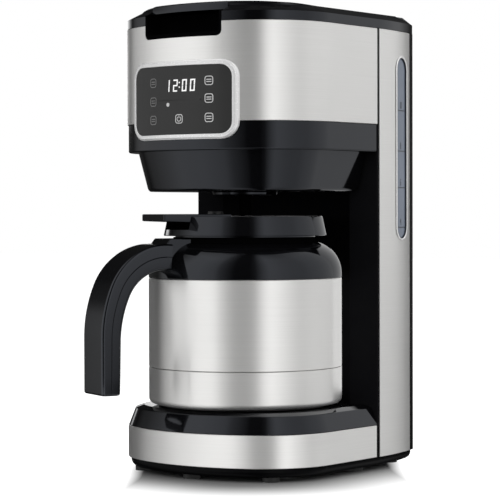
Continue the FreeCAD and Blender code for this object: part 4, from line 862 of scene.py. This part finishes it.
def makeKeys():
    bright = []
    faint = []
    shape = (keys["half"], keys["radius"], keys["line"])
    reach, thick = keys["stroke"], keys["strokeHalf"]
    for side, group in (("left", faint), ("right", bright)):
        x, levels = keys[side]
        for level in levels:
            group.append(printFrame("keyFrame", x, level, *shape))
            for drop in keys["strokeRise"]:  # two short strokes on each key
                corners = barCorners(-reach, drop - thick, reach, drop + thick)
                group.append(printPatch("stroke", [(x + across, level + up) for across, up in corners]))
    x, z = power["x"], power["z"]
    bright.append(printFrame("keyFrame", x, z, *shape))
    start, end = math.radians(power["from"]), math.radians(power["to"])
    outer = arcRun(x, z, power["outer"], start, end, 24)
    inner = arcRun(x, z, power["inner"], start, end, 24)
    bright.append(printPatch("powerArc", outer + inner[::-1]))
    bright.append(printPatch("powerBar", [(x + across, z + up) for across, up in barCorners(*power["bar"])]))
    last = signal["sides"] - 1
    disc = arcRun(signal["x"], signal["z"], signal["radius"], 0, 2 * math.pi * last / signal["sides"], last)
    bright.append(printPatch("lamp", disc))
    finishPiece(joinPieces("keysBright", bright), "machine", printKey)
    finishPiece(joinPieces("keysFaint", faint), "machine", printGrey)


makeBezel()
makeGlass()
makeClock()
makeKeys()
print("display made")


# Lid and its frame

lid = {"rim": 330.3, "seat": 326.5, "top": 334.5, "edge": 9.9, "rear": 92.0, "corner": 6.0, "flat": 331.0,
       "flatFront": -10.0, "rearShare": 0.4}
lidTab = {"half": 34.0, "low": 326.9, "top": 333.2, "proud": 2.4, "narrow": 6.0, "rear": -46.0}


def lidLevel(y, z):
    # The top is level behind and rises evenly to the front
    slope = (lid["top"] - lid["flat"]) / (housing["nose"] + lid["flatFront"])
    return min(z, lid["flat"] + max(lid["flatFront"] - y, 0.0) * slope)


def makeTopFrame():
    topFrame = copyOfNode("topFrame", "top_frame")
    bevelEdges(topFrame, 0.5, 2)
    finishPiece(topFrame, "machine", blackGloss, ["top_frame"])


def makeLid():
    edge, seat, rim, top = lid["edge"], lid["seat"], lid["rim"], lid["top"]
    profile = [(edge + 0.4, seat), (edge, seat + 0.4), (edge, rim), (edge + 0.6, rim + 0.6),
               (edge + 2.0, rim + 2.0), (edge + 3.3, rim + 3.3), (edge + 4.2, rim + 3.9),
               (edge + 5.4, rim + 4.15), (edge + 8.0, top), (edge + 20.0, top)]
    rings = []
    for inset, z in profile:
        run = lidRun(inset, lid["rear"] - (inset - edge) * lid["rearShare"], lid["corner"])
        rings.append([(x, y, lidLevel(y, z)) for x, y in run])
    cover = stackRings("lidCover", rings)
    finishPiece(cover, "lid", blackGloss, ["lid"])
    radius = housing["frontRadius"] - edge + lidTab["proud"]

    def tabRun(pull):
        half = lidTab["half"] - pull
        reach = radius - pull
        turn = math.asin(half / reach)
        rearHalf = half - lidTab["narrow"]
        front = arcRun(0, noseCentre, reach, -math.pi / 2 - turn, -math.pi / 2 + turn, 24)
        return front + [(rearHalf, lidTab["rear"]), (-rearHalf, lidTab["rear"])]

    low, high = lidTab["low"], lidTab["top"]
    levels = ((0.5, low), (0.0, low + 0.5), (0.0, high - 1.6), (0.5, high - 0.6), (1.8, high))
    tab = stackRings("lidTab", [lifted(tabRun(pull), z) for pull, z in levels])
    finishPiece(tab, "lid", blackGloss)


makeTopFrame()
makeLid()
print("lid made")


# Carafe, turned so that its handle points to the left of the front

carafe = {"turn": -114.3, "radius": 70.0, "foot": 47.8, "footRadius": 63.0, "cup": 49.2, "cupTop": 75.5,
          "barrel": 75.9, "barrelTop": 139.6, "sheet": 1.0, "corner": 4.0}
carafeTurn = Matrix.Rotation(math.radians(carafe["turn"]), 3, "Z")


def turned(ring):
    return [tuple(carafeTurn @ Vector(point)) for point in ring]


def turnedSlab(name, section, half, soft):
    # A section seen from the side, drawn out to both sides of the handle's plane
    slab = stackRings(name, [turned([(x, y, z) for x, z in section]) for y in (-half, half)])
    bevelEdges(slab, soft)
    return slab


def turnedBox(name, corners, low, high):
    return stackRings(name, [turned([(x, y, z) for x, y in corners]) for z in (low, high)])


def makeCarafeShell():
    low, wide = carafe["foot"], carafe["footRadius"]
    foot = stackRings("carafeFoot", latheRings([(wide - 0.6, low), (wide, low + 0.4), (wide, low + 1.2)]))
    finishPiece(foot, "carafe", darkMatte, ["carafe_foot"])
    outer, corner = carafe["radius"], carafe["corner"]
    inner = outer - carafe["sheet"]
    low, top = carafe["cup"], carafe["cupTop"]
    profile = [(outer - corner + corner * math.sin(angle), low + corner * (1 - math.cos(angle)))
               for angle in [math.pi / 2 * step / 10 for step in range(11)]]
    profile += [(outer, top - 0.3), (outer - 0.3, top), (inner, top), (inner, low + corner)]
    cup = stackRings("carafeCup", latheRings([(0.01, low)] + profile))
    finishPiece(cup, "carafe", carafeSteel, ["carafe_cup"])
    low, top = carafe["barrel"], carafe["barrelTop"]
    profile = [(inner, low), (outer - 0.3, low), (outer, low + 0.3), (outer, top - 0.4), (outer - 0.4, top),
               (inner, top)]
    barrel = stackRings("carafeBarrel", latheRings(profile), "loop")
    finishPiece(barrel, "carafe", carafeSteel, ["carafe_barrel"])


shoulder = {"low": 139.8, "rim": 3.2, "bend": 23.0, "inner": 64.5, "innerLow": 141.0, "innerTop": 152.0}
neck = {"radius": 52.2, "top": 169.1, "ledge": 50.9, "ledgeTop": 168.0, "wall": 46.7, "rise": 20.0}
# Across from the axis and down from the lip
spout = {"half": 12.0, "soft": 1.5, "lip": 0.6, "section": (
    (-48.8, -13.0), (-62.5, -13.0), (-70.5, -3.0), (-70.5, 0.0), (-51.0, 0.0), (-48.8, 0.0))}
boss = {"half": 13.5, "soft": 0.8, "section": (
    (50.0, 150.1), (69.9, 150.1), (69.9, 164.0), (66.4, 168.4), (50.0, 168.4))}


def makeShoulder():
    outer, bend, low = carafe["radius"], shoulder["bend"], shoulder["low"]
    ring, wall = neck["radius"], neck["wall"]
    rim = low + shoulder["rim"]
    end = math.acos((ring - outer + bend) / bend)
    profile = [(shoulder["inner"], low), (outer - 0.4, low), (outer, low + 0.4)]
    profile += [(outer - bend + bend * math.cos(end * step / 16), rim + bend * math.sin(end * step / 16))
                for step in range(17)]
    profile += [(wall, profile[-1][1]), (wall, shoulder["innerTop"]),
                (shoulder["inner"], shoulder["innerLow"])]
    dome = stackRings("carafeShoulder", latheRings(profile), "loop")
    finishPiece(dome, "carafe", carafeBlack, ["carafe_shoulder"])
    low, top, ledge, ledgeTop = rim + neck["rise"], neck["top"], neck["ledge"], neck["ledgeTop"]
    profile = [(ring, low), (ring, top - 0.4), (ring - 0.4, top), (ledge, top), (ledge, ledgeTop),
               (wall, ledgeTop), (wall, low)]
    # painted shade: the neck's wall lies in shadow under the lid, so it is given the black without gloss
    neckRing = stackRings("carafeNeck", latheRings(profile), "loop")
    finishPiece(neckRing, "carafe", blackInShade)
    lip = ledgeTop - spout["lip"]
    section = [(x, lip + z) for x, z in spout["section"]]
    # painted shade: the spout too is given the black without gloss
    beak = turnedSlab("carafeSpout", section, spout["half"], spout["soft"])
    finishPiece(beak, "carafe", blackInShade)
    root = turnedSlab("handleBoss", boss["section"], boss["half"], boss["soft"])
    finishPiece(root, "carafe", carafeBlack)


handle = {"root": 70.2, "top": 164.7, "bend": 47.0, "bendAngle": 67.0, "sweep": 94.0, "end": 59.2,
          "thick": 13.6, "half": 16.6, "split": 0.1, "round": 2.2, "crisp": 0.2, "past": 5.0,
          "endSwell": 1.05, "rootSwell": 0.33, "swellPower": 0.8}
handleEnd = ((0.0, 1.6), (0.25, 0.8), (0.8, 0.25), (1.6, 0.0))  # pull and lift that round off the end


def handlePath():
    # Points of the outer line with the direction towards the inside of the bend
    def onBow(x, z, radius, turn):
        sin, cos = math.sin(turn), math.cos(turn)
        return (x + radius * sin, z + radius * cos, -sin, -cos)

    bend, sweep, angle = handle["bend"], handle["sweep"], math.radians(handle["bendAngle"])
    start = -math.radians(handle["past"])
    x, z = handle["root"], handle["top"] - bend
    path = [onBow(x, z, bend, start + (angle - start) * step / 17) for step in range(18)]
    x += (bend - sweep) * math.sin(angle)
    z += (bend - sweep) * math.cos(angle)
    path += [onBow(x, z, sweep, angle + (math.pi / 2 - angle) * step / 8) for step in range(1, 9)]
    path += [(x + sweep, z + (handle["end"] - z) * step / 3, -1.0, 0.0) for step in range(1, 4)]
    return path


def handleSection(near, far, edge, pull):
    # Depth and width round one half of the grip: rounded on its open side, crisp at the split
    half = handle["half"] - pull
    if edge == "near":
        soft, crisp, sign = near + pull, far, 1.0
    else:
        soft, crisp, sign = far - pull, near, -1.0
    radius, flat = handle["round"], handle["crisp"]
    turns = [math.pi / 2 * step / 5 for step in range(6)]
    run = [(soft + sign * radius * (1 - math.cos(turn)), half - radius * (1 - math.sin(turn)))
           for turn in turns]
    run += [(crisp - sign * flat, half), (crisp, half - flat)]
    return run + [(depth, -across) for depth, across in reversed(run)]


def makeHandle():
    middle, gap = handle["thick"] / 2, handle["split"]
    path = handlePath()
    last = len(path) - 1
    for name, node, near, far, edge in (
            ("handleOuter", "handle_outer", 0.0, middle - gap, "near"),
            ("handleInner", "handle_inner", middle + gap, handle["thick"], "far")):
        rings = []
        for index, (x, z, inX, inZ) in enumerate(path):
            # the grip grows thicker towards its root
            swell = handle["endSwell"] + handle["rootSwell"] * (1 - index / last) ** handle["swellPower"]
            for pull, lift in handleEnd if index == last else ((0.0, 0.0),):
                section = handleSection(near * swell, far * swell, edge, pull)
                rings.append(turned([(x + inX * depth, across, z + lift + inZ * depth)
                                     for depth, across in section]))
        half = stackRings(name, rings)
        finishPiece(half, "carafe", handleBlack, [node], 35.0)


collar = {"plug": 45.1, "plugLow": 150.0, "seat": 168.3, "step": 50.7, "low": 170.0, "wide": 59.0,
          "narrow": 55.9, "top": 184.1, "hole": 11.0, "dish": 177.0, "slot": (15.0, -18.9, 90.0, 18.9),
          "slotLow": 174.5}
cutTop = 190.0  # above everything that is cut from the carafe's lid and lever


def makeCarafeLid():
    plug, plugLow, seat, step = collar["plug"], collar["plugLow"], collar["seat"], collar["step"]
    low, wide, narrow, top = collar["low"], collar["wide"], collar["narrow"], collar["top"]
    hole, dish = collar["hole"], collar["dish"]
    profile = [(0.01, plugLow), (plug - 0.5, plugLow), (plug, plugLow + 0.5), (plug, seat), (step, seat),
               (step, low), (wide - 0.4, low), (wide, low + 0.4), (wide - 0.15, low + 1.2),
               (narrow + 0.35, top - 0.8), (narrow, top - 0.2), (narrow - 0.7, top), (hole, top),
               (hole - 0.8, top - 0.5), (hole - 4.0, dish + 1.6), (hole - 5.0, dish), (0.01, dish)]
    lidPiece = stackRings("carafeLid", latheRings(profile))
    cutAway(lidPiece, turnedBox("leverSlot", barCorners(*collar["slot"]), collar["slotLow"], cutTop))
    finishPiece(lidPiece, "carafe_lid", carafeBlack, ["carafe_lid"])


lever = {"root": 21.0, "tip": 74.0, "half": 18.6, "low": 178.6, "top": 185.7, "corner": 1.2, "taper": 0.09,
         "taperFrom": 50.0, "taperHigh": 2.0, "fork": (0.0, -3.5, 28.5, 3.5), "forkLow": 175.0}


def makeLever():
    low, top = lever["low"], lever["top"]

    def plate(pull):
        root, tip, half = lever["root"] + pull, lever["tip"] - pull, lever["half"] - pull
        corner, quarter = lever["corner"], math.pi / 2
        right = arcRun(tip - corner, corner - half, corner, -quarter, 0, 6)
        left = arcRun(tip - corner, half - corner, corner, 0, quarter, 6)
        return [(root, -half)] + right + left + [(root, half)]

    def rising(x, z):
        # the underside rises towards the tip
        return max(x - lever["taperFrom"], 0.0) * lever["taper"] if z < low + lever["taperHigh"] else 0.0

    levels = ((0.6, low), (0.2, low + 0.15), (0.0, low + 0.5), (0.0, top - 0.6), (0.2, top - 0.2), (0.7, top))
    rings = [turned([(x, y, z + rising(x, z)) for x, y in plate(pull)]) for pull, z in levels]
    piece = stackRings("thumbLever", rings)
    cutAway(piece, turnedBox("forkCut", barCorners(*lever["fork"]), lever["forkLow"], cutTop))
    finishPiece(piece, "thumb_lever", carafeBlack, ["thumb_lever"])


makeCarafeShell()
makeShoulder()
makeHandle()
makeCarafeLid()
makeLever()
print("carafe made")


# Floor, light and camera

studio = {"lens": 150.1, "sensor": 36.0, "eye": (0.9286, -1.1957, 0.1855), "ahead": (-0.6115, 0.7912),
          "dip": 0.984, "roll": -0.15}
cameraTurn = math.atan2(-studio["ahead"][1], -studio["ahead"][0])  # from the object to the camera


def addRamp(tree, socket, points):
    ramp = addNode(tree, "ShaderNodeValToRGB")
    tree.links.new(socket, ramp.inputs[0])
    stops = ramp.color_ramp.elements
    for number, (where, colour) in enumerate(points):
        stop = stops[number] if number < 2 else stops.new(where)
        stop.position = where
        stop.color = (*colour, 1.0)
    return ramp.outputs[0]


paper = {"tone": (0.24, 0.24, 0.24, 1.0), "rough": 0.9, "size": 12.0, "centre": (0.0, 0.02, 0.0),
         "half": (0.03, 0.05, 0.0), "shadowFade": (0.046, 0.128), "middle": 0.0155, "side": (0.089, 0.099)}


def makeFloor():
    deselectAll()
    bpy.ops.mesh.primitive_grid_add(x_subdivisions=8, y_subdivisions=8, size=paper["size"])
    floor = bpy.context.object
    floor.name = "studioFloor"
    material, tree, shader = newMaterial("palePaper")
    setInputs(shader, {"Base Color": paper["tone"], "Roughness": paper["rough"], "Specular IOR Level": 0.0,
                       "Emission Color": white})
    path = addNode(tree, "ShaderNodeLightPath")
    coords = addNode(tree, "ShaderNodeTexCoord")
    away = coords.outputs["Object"]  # then the distance from a box round the machine's foot
    for operation, value in (("SUBTRACT", paper["centre"]), ("ABSOLUTE", None), ("SUBTRACT", paper["half"]),
                             ("MAXIMUM", (0.0, 0.0, 0.0)), ("LENGTH", None)):
        step = addNode(tree, "ShaderNodeVectorMath", operation=operation)
        tree.links.new(away, step.inputs[0])
        if value:
            setInputs(step, {1: value})
        away = step.outputs["Value" if operation == "LENGTH" else "Vector"]
    # painted shadow: the floor glows white for camera rays away from the machine's foot, so near the foot
    # only its darker own tone and its real shadow show
    shadowFade = addNode(tree, "ShaderNodeMapRange", interpolation_type="SMOOTHSTEP")
    tree.links.new(away, shadowFade.inputs["Value"])
    setInputs(shadowFade, {"From Min": paper["shadowFade"][0], "From Max": paper["shadowFade"][1]})
    # across the view the glow comes in sooner, so the painted shadow is narrow at the sides
    across = addNode(tree, "ShaderNodeVectorMath", operation="DOT_PRODUCT")
    tree.links.new(coords.outputs["Object"], across.inputs[0])
    setInputs(across, {1: (-studio["ahead"][1], studio["ahead"][0], 0.0)})
    middle = addMath(tree, "ABSOLUTE", addMath(tree, "ADD", across.outputs["Value"], paper["middle"]), 0.0)
    glow = addMath(tree, "MAXIMUM", shadowFade.outputs[0], rangeOf(tree, middle, 0.0, 1.0, *paper["side"]))
    tree.links.new(addMath(tree, "MULTIPLY", path.outputs["Is Camera Ray"], glow),
                   shader.inputs["Emission Strength"])
    floor.data.materials.append(material)
    floor.visible_glossy = False


# Degrees round from the camera, to the right, and how bright the tent is there
tentProfile = ((-180, 0.04), (-150, 0.05), (-136, 0.06), (-130, 0.18), (-124, 0.4), (-116, 0.6), (-102, 0.8),
               (-92, 0.96), (-83, 1.04), (-66, 1.12), (-54, 1.0), (-46, 0.88), (-40, 0.5), (-30, 0.2),
               (-22, 0.03), (-4, 0.02), (3, 0.12), (8, 0.45), (13, 0.78), (20, 1.1), (28, 1.05), (38, 0.92),
               (50, 0.82), (65, 0.78), (78, 0.88), (107, 0.88), (122, 0.86), (128, 0.72), (135, 0.3),
               (142, 0.07), (180, 0.03))
# The light for dull surfaces
fillProfile = ((-180, 0.05), (-120, 0.08), (-90, 0.5), (-50, 1.12), (90, 1.12), (120, 1.0), (150, 0.5),
               (180, 0.05))
# White paper low down
paperProfile = ((-78, 0.0), (-58, 0.6), (-46, 1.3), (-30, 1.3), (-10, 1.2), (0, 1.3), (10, 1.3), (22, 0.8),
                (34, 0.2), (44, 0.0))
tentTop = 1.3
# Heights run from 0 straight down, over 0.5 level, to 1 straight up
rise = ((0.0, 0.6), (0.25, 0.85), (0.5, 1.0), (0.9, 1.0), (0.96, 0.75), (0.985, 0.3), (1.0, 0.02))
paperRise = ((0.0, 0.0), (0.345, 0.0), (0.365, 1.0), (0.43, 1.0), (0.445, 0.0))
sideProfile = ((-180, 0.0), (40, 0.0), (58, 1.0), (140, 1.0), (151, 0.0))  # low dark card on the right
sideRise = ((0.0, 0.0), (0.39, 0.0), (0.405, 1.0), (0.45, 1.0), (0.47, 0.35), (0.49, 0.0))
leftProfile = ((-180, 1.0), (-118, 1.0), (-88, 0.0))  # dark above and below on the left
leftRise = ((0.0, 0.5), (0.41, 0.5), (0.45, 0.0), (0.55, 0.0), (0.59, 0.65), (0.82, 0.65), (0.88, 0.0))
backProfile = ((-180, 1.3), (-155, 1.3), (-137, 0.0), (180, 0.0))  # bright card behind on the left
backRise = ((0.0, 0.0), (0.523, 0.0), (0.526, 1.0), (0.548, 1.0), (0.551, 0.0))


def makeWorld():
    world = bpy.data.worlds.new("studioTent")
    bpy.context.scene.world = world
    world.use_nodes = True
    tree = world.node_tree
    tree.nodes.clear()
    coords = addNode(tree, "ShaderNodeTexCoord")
    parts = addNode(tree, "ShaderNodeSeparateXYZ")
    turn = addNode(tree, "ShaderNodeVectorRotate", rotation_type="Z_AXIS")
    setInputs(turn, {"Angle": -cameraTurn})
    tree.links.new(coords.outputs["Generated"], turn.inputs["Vector"])
    tree.links.new(turn.outputs[0], parts.inputs[0])
    angle = addMath(tree, "ARCTAN2", parts.outputs["Y"], parts.outputs["X"])
    place = addMath(tree, "ADD", addMath(tree, "MULTIPLY", angle, 0.5 / math.pi), 0.5)
    height = addMath(tree, "ADD", addMath(tree, "MULTIPLY", parts.outputs["Z"], 0.5), 0.5)

    def roundRamp(profile):
        points = [(degrees / 360 + 0.5, grey(level / tentTop)) for degrees, level in profile]
        return addRamp(tree, place, points)

    def riseRamp(steps):
        return addRamp(tree, height, [(where, grey(level)) for where, level in steps])

    def mixed(factor, first, second):
        mix = addNode(tree, "ShaderNodeMixShader")
        for number, socket in enumerate((factor, first, second)):
            tree.links.new(socket, mix.inputs[number])
        return mix.outputs[0]

    def glowing(strength=None):
        glow = addNode(tree, "ShaderNodeBackground")
        setInputs(glow, {"Color": white})
        if strength:
            tree.links.new(addMath(tree, "MULTIPLY", strength, tentTop), glow.inputs["Strength"])
        return glow.outputs[0]

    level = addMath(tree, "MULTIPLY", roundRamp(tentProfile), riseRamp(rise))
    for profile, steps in ((sideProfile, sideRise), (leftProfile, leftRise)):
        shade = addMath(tree, "MULTIPLY", roundRamp(profile), tentTop)
        shade = addMath(tree, "MULTIPLY", shade, riseRamp(steps))
        level = addMath(tree, "MULTIPLY", level, addMath(tree, "SUBTRACT", 1.0, shade))
    for profile, steps in ((backProfile, backRise), (paperProfile, paperRise)):
        level = addMath(tree, "ADD", level, addMath(tree, "MULTIPLY", roundRamp(profile), riseRamp(steps)))
    path = addNode(tree, "ShaderNodeLightPath")
    seen = addMath(tree, "MAXIMUM", path.outputs["Is Camera Ray"], path.outputs["Is Transmission Ray"])
    lit = mixed(path.outputs["Is Glossy Ray"], glowing(roundRamp(fillProfile)), glowing(level))
    out = addNode(tree, "ShaderNodeOutputWorld")
    tree.links.new(mixed(seen, lit, glowing()), out.inputs[0])


topLamp = {"place": (-0.25, 0.45, 1.7), "aim": (0.0, 0.0, 0.16), "size": 0.9, "power": 22.0}


def makeLamp():
    deselectAll()
    bpy.ops.object.light_add(type="AREA", location=topLamp["place"])
    lamp = bpy.context.object
    lamp.name = "topLamp"
    lamp.data.energy = topLamp["power"]
    lamp.data.size = topLamp["size"]
    ahead = Vector(topLamp["aim"]) - Vector(topLamp["place"])
    lamp.rotation_euler = ahead.to_track_quat("-Z", "Y").to_euler()
    lamp.visible_camera = False
    lamp.visible_glossy = False


def makeCamera():
    deselectAll()
    bpy.ops.object.camera_add(location=studio["eye"])
    camera = bpy.context.object
    camera.name = "photoCamera"
    camera.data.lens = studio["lens"]
    camera.data.sensor_width = studio["sensor"]
    camera.data.clip_start = 0.05
    ahead = Vector((*studio["ahead"], -math.tan(math.radians(studio["dip"]))))
    turn = ahead.to_track_quat("-Z", "Y").to_matrix() @ Matrix.Rotation(math.radians(studio["roll"]), 3, "Z")
    camera.rotation_euler = turn.to_euler()
    bpy.context.scene.camera = camera


makeFloor()
makeWorld()
makeLamp()
makeCamera()
bpy.context.scene.view_settings.view_transform = "Standard"
deselectAll()
print("studio made")
